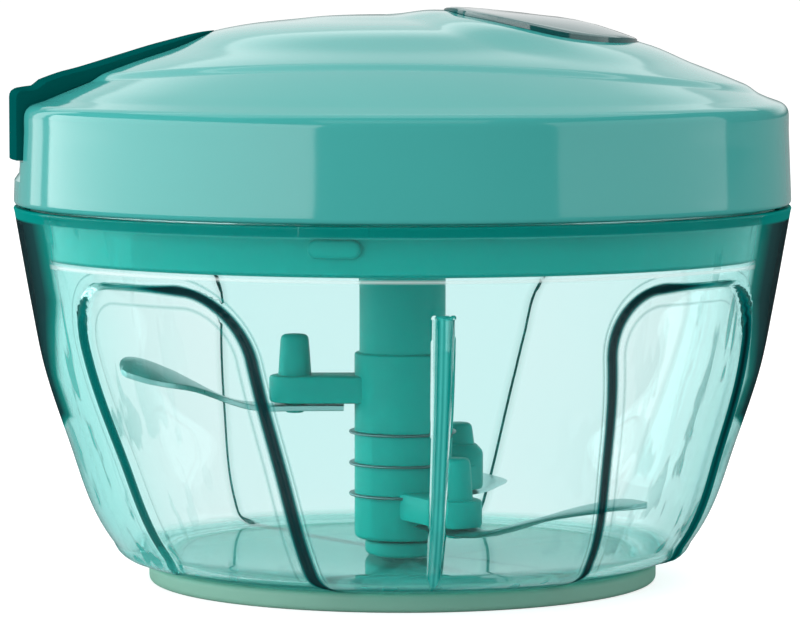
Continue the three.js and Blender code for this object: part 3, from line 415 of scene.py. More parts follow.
@dataclass(frozen=True)
class Signal:
    """A node's output that takes part in arithmetic."""

    graph: "Graph"
    socket: bpy.types.NodeSocket

    def run(self, operation: str, *values: Any) -> "Signal":
        """The result of a Math node on the given values."""
        return self.graph.signal("ShaderNodeMath", dict(enumerate(values)), operation=operation)

    __add__ = __radd__ = operator("ADD", "Sum.")
    __sub__ = operator("SUBTRACT", "Difference.")
    __rsub__ = operator("SUBTRACT", "Difference with the signal taken away.", swapped=True)
    __mul__ = __rmul__ = operator("MULTIPLY", "Product.")
    __truediv__ = operator("DIVIDE", "Quotient.")
    __pow__ = operator("POWER", "Power.")
    __mod__ = operator("FLOORED_MODULO", "Remainder, never below 0.")
    __gt__ = operator("GREATER_THAN", "1 where it is larger.")
    __abs__ = operator("ABSOLUTE", "Size without its sign.")
    at_most = operator("MINIMUM", "The smaller of the two.")
    at_least = operator("MAXIMUM", "The larger of the two.")

    def held(self) -> "Signal":
        """The value held between 0 and 1."""
        return self.at_least(0.0).at_most(1.0)

    def ramp(self, start: float, slope: float) -> "Signal":
        """0 up to a start, then rising by a slope to 1."""
        return ((self - start) * slope).held()

    def band(self, middle: Any, slope: float) -> "Signal":
        """1 at a value, falling by a slope to 0 on both its sides."""
        return (1 - abs(self - middle) * slope).held()

    def turn_of(self, across: "Signal") -> "Signal":
        """The turn in degrees of a point whose Y this is, given its X."""
        return self.run("ARCTAN2", self, across) * (180 / math.pi)


@dataclass
class Graph:
    """A node tree and the one way its nodes are made."""

    tree: bpy.types.NodeTree

    def node(self, kind: str, inputs: dict[Any, Any] | None = None, **settings: Any) -> bpy.types.Node:
        """Makes a node.

        Args:
            kind: The node's type.
            inputs: Values or links for its sockets, by name or number.
            **settings: Its own settings, and "stops" for a ramp as (place, colour) pairs.

        Returns:
            The new node.
        """
        made = self.tree.nodes.new(kind)
        for name, value in settings.items():
            if name == "stops":
                ramp = made.color_ramp
                while len(ramp.elements) < len(value):
                    ramp.elements.new(0.5)
                for element, (place, colour) in zip(ramp.elements, value):
                    element.position = place
                    element.color = (*colour, 1)
            else:
                setattr(made, name, value)
        for name, value in (inputs or {}).items():
            socket = made.inputs[name]
            if isinstance(value, Signal):
                self.tree.links.new(value.socket, socket)
            elif socket.type == "RGBA" and len(value) == 3:
                socket.default_value = (*value, 1)
            else:
                socket.default_value = value
        return made

    def signal(self, kind: str, inputs: dict[Any, Any] | None = None, output: Any = 0, **settings: Any) -> Signal:
        """Makes a node and returns one of its outputs."""
        return Signal(self, self.node(kind, inputs, **settings).outputs[output])

    def signals(self, kind: str, outputs: Sequence[str], inputs: dict[Any, Any] | None = None) -> list[Signal]:
        """Makes a node and returns several of its outputs."""
        made = self.node(kind, inputs)
        return [Signal(self, made.outputs[name]) for name in outputs]

    def place(self, kind: str = "Object") -> Signal:
        """The coordinates of the point that is shaded."""
        return self.signal("ShaderNodeTexCoord", None, kind)

    def noise(self, scale: float, detail: float = 3.0, stretch: Point = (1, 1, 1)) -> Signal:
        """Noise from 0 to 1 on Object coordinates, scaled per metre."""
        spread = self.signal("ShaderNodeMapping", {"Vector": self.place(), "Scale": stretch})
        return self.signal("ShaderNodeTexNoise", {"Vector": spread, "Scale": scale, "Detail": detail}, "Fac")

    def blend(self, share: Signal, low: Colour | Signal, high: Colour | Signal) -> Signal:
        """A colour between two, by a share."""
        return self.signal("ShaderNodeMix", {0: share, 6: low, 7: high}, 2, data_type="RGBA")

    def bump(self, height: Signal, strength: float, distance: float) -> Signal:
        """A normal from a height."""
        return self.signal("ShaderNodeBump", {"Strength": strength, "Distance": distance, "Height": height})

    def principled(self, **inputs: Any) -> Signal:
        """A Principled surface, its sockets named with low lines for spaces."""
        return self.signal("ShaderNodeBsdfPrincipled", {name.replace("_", " "): inputs[name] for name in inputs})

    def facing(self) -> Signal:
        """How far the surface turns away from the eye, from 0 to 1."""
        return self.signal("ShaderNodeLayerWeight", {"Blend": 0.5}, "Facing")


class Form(Enum):
    """The Geometry Nodes forms of the chopper."""

    COPIES = "turned_copies"
    STRIP = "spiral_strip"
    TURNS = "cord_turns"


class FormTree(Graph):
    """A Geometry Nodes group with named inputs that ends in Realize Instances and Set Material."""

    def __init__(self, form: Form, sizes: dict[str, float]) -> None:
        """Opens the group with a geometry input, its sizes and its finish."""
        super().__init__(bpy.data.node_groups.new(form.value, "GeometryNodeTree"))
        face = self.tree.interface
        face.new_socket("Geometry", in_out="OUTPUT", socket_type="NodeSocketGeometry")
        face.new_socket("Geometry", in_out="INPUT", socket_type="NodeSocketGeometry")
        for name, value in sizes.items():
            kind = "NodeSocketInt" if isinstance(value, int) else "NodeSocketFloat"
            face.new_socket(name, in_out="INPUT", socket_type=kind).default_value = value
        face.new_socket("Finish", in_out="INPUT", socket_type="NodeSocketMaterial")
        self.entry = self.tree.nodes.new("NodeGroupInput")

    def size(self, name: str) -> Signal:
        """One of the group's inputs."""
        return Signal(self, self.entry.outputs[name])

    def close(self, geometry: Signal) -> bpy.types.NodeTree:
        """Realizes, finishes and hands out the geometry."""
        real = self.signal("GeometryNodeRealizeInstances", {0: geometry})
        merged = self.signal("GeometryNodeMergeByDistance", {0: real, "Distance": 2e-6})
        dressed = self.signal("GeometryNodeSetMaterial", {0: merged, "Material": self.size("Finish")})
        self.node("NodeGroupOutput", {0: dressed})
        return self.tree


def copies_tree() -> bpy.types.NodeTree:
    """Copies of a mesh, each turned about the upright axis and lifted by one more step."""
    form = FormTree(Form.COPIES, {"Count": 4, "Turn Step": 90.0, "First Turn": 0.0, "Rise Step": 0.0})
    index = form.signal("GeometryNodeInputIndex")
    place = form.signal("ShaderNodeCombineXYZ", {"Z": index * form.size("Rise Step")})
    turn = (index * form.size("Turn Step") + form.size("First Turn")) * (math.pi / 180)
    spin = form.signal("ShaderNodeCombineXYZ", {"Z": turn})
    points = form.signal("GeometryNodePoints", {"Count": form.size("Count"), "Position": place})
    copies = form.signal("GeometryNodeInstanceOnPoints", {
        "Points": points, "Instance": form.size("Geometry"), "Rotation": spin,
    })
    return form.close(copies)


def wound_tree(form: FormTree, radii: tuple[str, str], rise: Any, section: Signal,
               lift: Signal) -> bpy.types.NodeTree:
    """Sweeps a section along a spiral or helix and lifts it off its bottom.

    Args:
        form: The tree, with its sizes.
        radii: Names of the sizes that hold the first and the last radius.
        rise: How far the curve rises.
        section: The swept curve.
        lift: How far the curve's start lies above the bottom.

    Returns:
        The finished tree.
    """
    curve = form.signal("GeometryNodeCurveSpiral", {
        "Resolution": 72, "Rotations": form.size("Turns"), "Start Radius": form.size(radii[0]),
        "End Radius": form.size(radii[1]), "Height": rise,
    })
    flat = form.signal("GeometryNodeSetCurveNormal", {0: curve}, mode="Z_UP")
    wound = form.signal("GeometryNodeCurveToMesh", {0: flat, 1: section, "Fill Caps": True})
    place = form.signal("ShaderNodeCombineXYZ", {"Z": form.size("Bottom") + lift})
    return form.close(form.signal("GeometryNodeTransform", {0: wound, "Translation": place}))


def strip_tree() -> bpy.types.NodeTree:
    """A flat strip standing on its edge and wound into a spiral."""
    form = FormTree(Form.STRIP, {
        "Turns": 5.0, "Inner Radius": 0.005, "Outer Radius": 0.021, "Breadth": 0.0055, "Thickness": 0.0006,
        "Bottom": 0.07,
    })
    breadth = form.size("Breadth")
    section = form.signal("GeometryNodeCurvePrimitiveQuadrilateral", {
        "Width": form.size("Thickness"), "Height": breadth,
    })
    return wound_tree(form, ("Inner Radius", "Outer Radius"), 0.0, section, breadth * 0.5)


def turns_tree() -> bpy.types.NodeTree:
    """One layer of a cord wound on a drum."""
    form = FormTree(Form.TURNS, {
        "Turns": 3.0, "Layer Radius": 0.016, "Rise": 0.004, "Cord Radius": 0.0009, "Bottom": 0.068,
    })
    radius = form.size("Cord Radius")
    section = form.signal("GeometryNodeCurvePrimitiveCircle", {"Resolution": 10, "Radius": radius})
    return wound_tree(form, ("Layer Radius", "Layer Radius"), form.size("Rise"), section, radius)


class FormShop:
    """Keeps one tree of each form and makes plain meshes with them."""

    def __init__(self) -> None:
        """Builds the trees."""
        self.trees = {Form.COPIES: copies_tree(), Form.STRIP: strip_tree(), Form.TURNS: turns_tree()}

    def make(self, obj: Object, form: Form, sizes: dict[str, float], finish: bpy.types.Material,
             sharp: float = SHARP) -> None:
        """Runs a form on an object and keeps the plain mesh.

        Args:
            obj: The object whose mesh the form starts from.
            form: Which form.
            sizes: Values for its named inputs.
            finish: The material it sets.
            sharp: Angle in degrees from which an edge shows as an edge.
        """
        modifier = obj.modifiers.new(form.value, "NODES")
        modifier.node_group = self.trees[form]
        sockets = {
            item.name: item.identifier
            for item in modifier.node_group.interface.items_tree if item.in_out == "INPUT"
        }
        for name, value in sizes.items():
            modifier[sockets[name]] = value
        modifier[sockets["Finish"]] = finish
        bake(obj)
        finish_mesh(obj, sharp)

    def empty(self, name: str) -> Object:
        """An object with an empty mesh, for a form that needs no start."""
        return Shape().piece(name)


# ---- Finishes ------------------------------------------------------------------------------------


@dataclass(frozen=True)
class Finish:
    """Base of the finishes: opens a material and shades it."""

    title: str

    def material(self) -> bpy.types.Material:
        """Makes the material."""
        made = bpy.data.materials.new(self.title)
        made.use_nodes = True
        made.node_tree.nodes.clear()
        graph = Graph(made.node_tree)
        graph.node("ShaderNodeOutputMaterial", self.shade(graph))
        return made

    def shade(self, graph: Graph) -> dict[str, Signal]:
        """Builds the surface, and the volume where there is one, by the name of its socket."""
        raise NotImplementedError


@dataclass(frozen=True)
class Moulding(Finish):
    """Opaque moulded plastic, from glossy to satin, with a faint flow pattern."""

    light: Colour
    dark: Colour
    roughness: float = 0.15
    roughness_spread: float = 0.05
    grain: float = 0.02
    grain_scale: float = 900.0
    flow_scale: float = 22.0
    specular: float = 0.5
    subsurface: float = 0.0

    def shade(self, graph: Graph) -> dict[str, Signal]:
        """Colour and gloss wander slowly, and a fine grain breaks the reflections."""
        flow = graph.noise(self.flow_scale)
        fine = graph.noise(self.grain_scale, 2.0)
        return {"Surface": graph.principled(
            Base_Color=graph.blend(flow, self.dark, self.light),
            Roughness=flow * self.roughness_spread + self.roughness,
            Specular_IOR_Level=self.specular,
            Subsurface_Weight=self.subsurface,
            Subsurface_Radius=(0.002, 0.004, 0.004),
            Normal=graph.bump(fine, self.grain, 0.0001),
        )}


@dataclass(frozen=True)
class Glassy(Finish):
    """Clear tinted plastic that deepens where it is seen edge on and where light crosses more of it."""

    # Colour of the deep shader: the plastic's own dark tone, also used as painted edge shade.
    rim: Colour
    tint: Colour
    density: float
    index: float = 1.5
    body_share: float = 0.0
    rim_power: float = 3.0
    rim_share: float = 0.9
    deep_specular: float = 0.5
    deep_roughness: float = 0.08
    shadow: Colour = (0.8, 0.95, 0.93)

    def depth(self, graph: Graph) -> tuple[Signal, Signal]:
        """How much of the deep shader shows, and its colour."""
        facing = graph.facing()
        # Painted edge shade: the deep colour covers more as the surface turns edge on; the noise below only varies
        # its tone.
        share = (facing ** self.rim_power) * self.rim_share + self.body_share
        wear = graph.noise(60.0)
        return share.held(), graph.blend(wear, self.rim, tuple(c * 1.2 for c in self.rim))

    def shade(self, graph: Graph) -> dict[str, Signal]:
        """Glass, a deep shader where the plastic is thick, and light let through to what stands inside."""
        wear = graph.noise(60.0)
        glass = graph.principled(
            Base_Color=graph.blend(wear, (0.97, 1, 1), WHITE), Roughness=wear * 0.02, IOR=self.index,
            Transmission_Weight=1.0,
        )
        share, colour = self.depth(graph)
        deep = graph.principled(
            Base_Color=colour, Roughness=self.deep_roughness, IOR=self.index, Specular_IOR_Level=self.deep_specular,
        )
        body = graph.signal("ShaderNodeMixShader", {0: share, 1: glass, 2: deep})
        clear = graph.signal("ShaderNodeBsdfTransparent", {"Color": self.shadow})
        shadow_ray = graph.signal("ShaderNodeLightPath", None, "Is Shadow Ray")
        return {
            "Surface": graph.signal("ShaderNodeMixShader", {0: shadow_ray, 1: body, 2: clear}),
            "Volume": graph.signal("ShaderNodeVolumeAbsorption", {"Color": self.tint, "Density": self.density}),
        }


@dataclass(frozen=True)
class Relief:
    """Where the bowl's ribs stand and its panels are sunk, in millimetres, degrees and shares."""

    first_rib_turn: float = -84.2
    quarter: float = 90.0
    rib_width: float = 2.9
    rib_top: float = 46.6
    rib_foot_share: float = 0.72
    panel_top: float = 50.36
    panel_corner: float = 11.0
    panel_edge: float = 0.9
    panel_middle: float = 42.5
    panel_half: float = 17.6
    panel_swirl: float = 8.0
    field_bottom: float = 3.2
    field_corner: float = 3.5

    @property
    def panel_sides(self) -> tuple[float, float]:
        """Turns of a panel's two sides within its quarter."""
        return self.panel_middle - self.panel_half, self.panel_middle + self.panel_half

    def swirl(self, height: Any) -> Any:
        """Turn that the panels have swung by at a height."""
        return (1 - height / self.panel_top) * self.panel_swirl


@dataclass(frozen=True)
class BowlGlass(Glassy):
    """The bowl's clear plastic: deep lines along the relief, teal ribs and a dark upper rim."""

    relief: Relief = Relief()
    line_width: float = 1.75
    line_inset: float = 0.45
    foot_line: float = 0.7
    inner_trace: float = 3.2
    outer_trace: float = -1.5
    lip_start: float = 58.2
    ledge_height: float = 51.9
    seam_height: float = 52.8
    base_height: float = 2.4
    front_span: float = 0.07
    hidden: float = 0.7
    far_line: float = 0.28
    far_width: float = 0.45
    far_right_shade: float = 0.25
    faded: float = 0.12
    line_share: float = 0.97
    foot_share: float = 0.25
    rib_share: float = 0.85
    base_share: float = 0.5
    base_inside: float = 0.3
    lip_share: float = 0.7
    ledge_share: float = 0.5
    seam_share: float = 0.4
    inner_trace_share: float = 0.42
    outer_trace_share: float = 0.5
    soft_share: float = 0.6
    strip_share: float = 0.75
    rim_start: float = 1.04
    rim_low: tuple[float, float] = (23.0, 0.33)
    rim_high: tuple[float, float] = (34.0, 0.13)
    # Scale of the noise that shapes the painted streaks.
    grain_scale: float = 260.0
    clear_tone: Colour = tone(96, 214, 205)
    trace_tone: Colour = tone(24, 156, 148)
    seam_shade_tone: Colour = tone(0, 112, 106)
    ledge_highlight_tone: Colour = tone(236, 252, 250)
    lip_tone: Colour = tone(0, 128, 120)
    base_light_tone: Colour = tone(150, 232, 226)
    rib_tone: Colour = tone(8, 146, 138)
    rib_highlight_tone: Colour = tone(84, 205, 197)
    # Painted refraction shade of the relief lines: lighter teal at a line's flanks, near black at its core.
    line_shade_ramp: Stops = (
        (0.0, tone(110, 205, 200)), (0.18, tone(14, 146, 140)), (0.36, tone(4, 92, 92)), (0.5, tone(7, 40, 44)),
    )
    # Painted dark refraction shade where the wall turns edge on, darkest at the silhouette.
    rim_shade_ramp: Stops = (
        (0.0, tone(0, 130, 120)), (0.2, tone(0, 108, 100)), (0.4, tone(2, 50, 52)), (0.7, tone(3, 26, 30)),
    )

    def panel(self, z: Signal, turn: Signal, arc: Signal) -> tuple[Signal, Signal, Signal]:
        """How far inside a panel's outline a point lies, how near the front, and how far up its round top."""
        relief = self.relief
        side = turn % relief.quarter - relief.swirl(z).at_least(0.0) - relief.panel_middle
        mirror = 1 - ((turn % (relief.quarter * 2)) > relief.quarter) * 2
        near = (0.5 - side * mirror * self.front_span).held()
        drop = ((relief.field_bottom + relief.field_corner - z) * (1 / relief.field_corner)).held()
        flare = (1 - (1 - drop * drop) ** 0.5) * relief.field_corner
        across = arc * (abs(side) - relief.panel_half) - flare + relief.panel_corner
        along = z - relief.panel_top + relief.panel_corner
        outer_x, outer_z = across.at_least(0.0), along.at_least(0.0)
        beyond = (outer_x * outer_x + outer_z * outer_z) ** 0.5
        within = across.at_least(along).at_most(0.0)
        return relief.panel_corner - beyond - within, near, (outer_z * (1 / relief.panel_corner)).held() ** 3

    def depth(self, graph: Graph) -> tuple[Signal, Signal]:
        """Lines by the distance to a panel's outline, and a rim that narrows to a point lower down."""
        relief = self.relief
        x, y, z = (axis * (1 / MM) for axis in graph.signals("ShaderNodeSeparateXYZ", "XYZ", {0: graph.place()}))
        outside = graph.signal("ShaderNodeAttribute", None, "Fac", attribute_name="outside")
        behind = graph.signal("ShaderNodeNewGeometry", None, "Backfacing")
        facing = graph.facing()
        turn = y.turn_of(x) - relief.first_rib_turn
        arc = (x * x + y * y) ** 0.5 * (math.pi / 180)
        inset, near, top = self.panel(z, turn, arc)
        front, mostly_front = 1 - behind, 1 - behind * self.hidden

        # Painted shade lines along the panels' outlines: narrower and weaker on the far side, stronger there on the
        # right, fainter low down.
        width = (near * (1 - self.far_width) + self.far_width) * (1 - top * 0.4) * self.line_width
        edge = (1 - abs(inset - self.line_inset) / width).held()
        far_right_shade = (x * 0.05 + 0.5).held() * (1 - near) * self.far_right_shade
        faded = (1 - near) * (1 - z.ramp(12.0, 0.05)) * self.faded
        edge = edge * (near * (1 - self.far_line) + self.far_line + far_right_shade - faded) * (1 - top * (1 - near))
        # A painted teal line along the field's bottom edge.
        foot = z.band(relief.field_bottom + self.foot_line, 1.1) * self.foot_share
        drawn = edge.at_least(foot) * mostly_front

        rib_away = abs((turn + relief.quarter) % (relief.quarter * 2) - relief.quarter) * arc
        rib_half = z * ((1 - relief.rib_foot_share) / relief.rib_top) + relief.rib_foot_share
        rib_half = rib_half * z.ramp(relief.field_bottom, 0.33)
        rib = ((rib_half * (relief.rib_width / 2) - rib_away) * 5.0).held() * ((relief.rib_top - z) * 4.0).held()

        # Painted dark rim: it covers more of the turned-away wall higher up.
        (low, low_fall), (high, high_fall) = self.rim_low, self.rim_high
        start = self.rim_start - z.ramp(low, 0.2) * low_fall - z.ramp(high, 0.08) * high_fall
        rim = facing.ramp(start, 14.0)
        # Painted light: a pale band in the thick base, weaker on the inner faces.
        base = ((relief.field_bottom + self.base_height - z) * 0.7).held()
        # A teal band over the top lip, laid on the rim shade.
        lip = z.ramp(self.lip_start, 3.0)
        # Painted refraction: teal companion lines beside each outline, and a soft painted refraction tint where the
        # wall turns away.
        trace = inset.band(self.inner_trace, 2.2) * self.inner_trace_share
        trace = trace.at_least(inset.band(self.outer_trace, 3.0) * self.outer_trace_share) * front
        soft = facing.ramp(0.12, 1.5) ** 2 * self.soft_share * front * (1 - facing.ramp(0.62, 4.0) * 0.8)
        # Painted streaks in that soft tint, from noise stretched upright.
        grain = graph.noise(self.grain_scale, 2.0, (1, 1, 0.05))
        strip = grain.ramp(0.53, 14.0) * (soft * 3.2).held() * self.strip_share
        # Painted highlight: a near-white line at the ledge height; painted shade: a dark teal line just above it.
        ledge_highlight = z.band(self.ledge_height, 2.2) * front * self.ledge_share
        seam_shade = z.band(self.seam_height, 2.4) * front * self.seam_share

        share = (drawn * 3.0).held() * self.line_share * mostly_front
        share = share.at_least(rib * self.rib_share * (1 - behind * self.rib_share)).at_least(rim * self.rim_share)
        share = share.at_least(base * self.base_share).at_least(lip * self.lip_share) * outside
        share = share.at_least(trace.at_least(soft).at_least(strip) * outside).at_least(base * self.base_inside)
        share = share.at_least(ledge_highlight.at_least(seam_shade) * outside)

        # Painted highlight near the middle of each rib, over the rib's own teal.
        rib_highlight = rib_away.band(0.35, 2.2)
        line_shade_ramp = graph.signal("ShaderNodeValToRGB", {0: drawn}, stops=self.line_shade_ramp)
        rim_shade_ramp = graph.signal("ShaderNodeValToRGB", {0: (facing - start) * 2.6}, stops=self.rim_shade_ramp)
        rim_shade_ramp = graph.blend(lip, rim_shade_ramp, self.lip_tone)
        rib_with_highlight = graph.blend(rib_highlight, self.rib_tone, self.rib_highlight_tone)
        colour = graph.blend((trace * 3.0).at_least(strip * 2.0).held(), self.clear_tone, self.trace_tone)
        for over, layer in (
            ((seam_shade * 4.0).held(), self.seam_shade_tone), ((ledge_highlight * 4.0).held(), self.ledge_highlight_tone),
            (rim.at_least(lip), rim_shade_ramp), (base, self.base_light_tone), (rib, rib_with_highlight), ((drawn * 6.0).held(), line_shade_ramp),
        ):
            colour = graph.blend(over, colour, layer)
        return share, colour


@dataclass(frozen=True)
class Metal(Finish):
    """Brushed or drawn metal, its brushing stretched along one direction."""

    light: Colour
    dark: Colour
    roughness: float = 0.22
    stretch: Point = (1, 12, 1)

    def shade(self, graph: Graph) -> dict[str, Signal]:
        """Fine brushing in the gloss and a little tarnish in the colour."""
        brush = graph.noise(400.0, 4.0, self.stretch)
        stain = graph.noise(45.0)
        return {"Surface": graph.principled(
            Base_Color=graph.blend(stain, self.dark, self.light), Metallic=1.0,
            Roughness=brush * 0.16 + self.roughness, Normal=graph.bump(brush, 0.12, 0.00005),
        )}


@dataclass(frozen=True)
class Braid(Finish):
    """Braided cord: crossing strands in colour and relief."""

    light: Colour
    dark: Colour
    pitch: float = 1500.0

    def shade(self, graph: Graph) -> dict[str, Signal]:
        """Strands that cross both ways, with shade between them."""
        place = graph.place()
        leans = [
            graph.signal("ShaderNodeTexWave", {
                "Vector": graph.signal("ShaderNodeMapping", {"Vector": place, "Scale": scale}),
                "Scale": self.pitch / 10, "Distortion": 1.5,
            }, "Fac", bands_direction="DIAGONAL")
            for scale in ((1, 1, 1), (-1, 1, 1))
        ]
        strands = leans[0].at_least(leans[1])
        return {"Surface": graph.principled(
            Base_Color=graph.blend(strands, self.dark, self.light), Roughness=0.9 - strands * 0.15,
            Normal=graph.bump(strands, 0.5, 0.0002),
        )}


@dataclass(frozen=True)
class StageWhite(Finish):
    """White floor that keeps the object's shadow."""

    diffuse: float = 0.55
    glow: float = 0.74
    seen_through: float = 0.98
    mirrored: float = 0.12
    mirrored_behind: float = 0.35

    def shade(self, graph: Graph) -> dict[str, Signal]:
        """Diffuse white with a glow for the camera, and plain white in glass and in reflections."""
        camera, glossy, through = graph.signals("ShaderNodeLightPath", RAYS)
        depth = graph.signal("ShaderNodeSeparateXYZ", {0: graph.place()}, "Y")
        behind = (depth * 4.0 - 0.4).held() * (self.mirrored_behind - self.mirrored) + self.mirrored
        white = graph.signal("ShaderNodeBsdfDiffuse", {"Color": (self.diffuse,) * 3})
        glow = graph.signal("ShaderNodeEmission", {"Color": WHITE, "Strength": camera * self.glow})
        lit = graph.signal("ShaderNodeAddShader", {0: white, 1: glow})
        strength = (through * self.seen_through).at_least(glossy * behind)
        plain = graph.signal("ShaderNodeEmission", {"Color": WHITE, "Strength": strength})
        return {"Surface": graph.signal("ShaderNodeMixShader", {0: glossy.at_least(through), 1: lit, 2: plain})}


class Finishes:
    """The chopper's materials, one for each of its finishes."""

    def __init__(self) -> None:
        """Makes them all."""
        self.mint = Moulding("mint_shell_gloss", tone(68, 168, 163), tone(60, 160, 155), 0.07, 0.03, 0.012).material()
        self.bowl = BowlGlass("clear_teal_bowl", tone(0, 70, 70), (0.0, 0.9, 0.87), 75.0, 1.33, rim_share=0.97,
                              deep_specular=0.0).material()
        self.dark = Glassy(
            "dark_teal_clear", tone(0, 72, 70), (0.0, 0.55, 0.55), 900.0, 1.5, 0.97, 2.0, 0.3, 0.0, 0.5,
            shadow=(0.1, 0.45, 0.45),
        ).material()
        self.plate = Glassy(
            "dark_teal_plate", tone(0, 84, 84), (0.0, 0.55, 0.55), 900.0, 1.5, 0.85, 2.0, 0.3, 0.8,
            shadow=(0.1, 0.45, 0.45),
        ).material()
        self.teal = Moulding(
            "teal_moulding", tone(0, 160, 151), tone(0, 152, 143), 0.4, 0.08, 0.03, specular=0.12,
        ).material()
        self.foot = Moulding(
            "pale_foot_rubber", tone(134, 183, 165), tone(122, 173, 155), 0.5, 0.1, 0.08, 1500.0, 40.0, 0.3,
        ).material()
        self.white = Moulding(
            "white_moulding", tone(234, 234, 228), tone(224, 225, 218), 0.38, 0.08, 0.04, subsurface=0.1,
        ).material()
        self.silicone = Moulding(
            "seal_silicone", tone(214, 232, 226), tone(200, 222, 214), 0.5, 0.1, 0.05, subsurface=0.3,
        ).material()
        self.blade = Metal("blade_steel", (0.34, 0.54, 0.53), (0.27, 0.45, 0.44)).material()
        self.washer = Metal("washer_steel", (0.16, 0.26, 0.26), (0.1, 0.18, 0.18), 0.35).material()
        self.spring = Metal("spring_steel", (0.46, 0.48, 0.5), (0.34, 0.35, 0.36), 0.28).material()
        self.cord = Braid("braided_cord", tone(238, 238, 230), tone(176, 178, 170)).material()
        self.floor = StageWhite("floor_white").material()


# ---- Sub-assemblies ------------------------------------------------------------------------------


def dress(obj: Object, material: bpy.types.Material) -> None:
    """Gives a piece its one material."""
    obj.data.materials.clear()
    obj.data.materials.append(material)


@dataclass
class Assembly:
    """Base of the sub-assemblies: what they share while they build and dress their pieces."""

    shop: FormShop
    finishes: Finishes

    def seat(self, obj: Object, material: bpy.types.Material, body: str, slot: str, *nodes: str) -> None:
        """Dresses a piece, sets it on its body and says what it stands for.

        Args:
            obj: The piece.
            material: Its finish.
            body: The body it moves with.
            slot: The record's material slot.
            *nodes: CAD nodes that it replaces.
        """
        dress(obj, material)
        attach(obj, body)
        if nodes:
            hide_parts(*nodes)
        LOG.info("%s rides on %s, %d faces", obj.name, body, len(obj.data.polygons))

    def turn(self, *parts: "Turned") -> None:
        """Makes turned parts and seats them."""
        for part in parts:
            finish = getattr(self.finishes, part.finish)
            self.seat(part.shape().piece(part.title), finish, part.body, part.slot, part.node)


@dataclass(frozen=True)
class Turned:
    """A part turned from a rounded section: its mesh, what it rides on and what it stands for."""

    title: str
    finish: str
    body: str
    slot: str
    node: str
    sides: int
    steps: int
    section: Profile
    lying_at: float | None = None

    def shape(self) -> Shape:
        """The turned skin, upright or lying along X at a height."""
        skin = spun(self.section, self.sides, self.steps)
        return skin if self.lying_at is None else skin.along_x(self.lying_at)


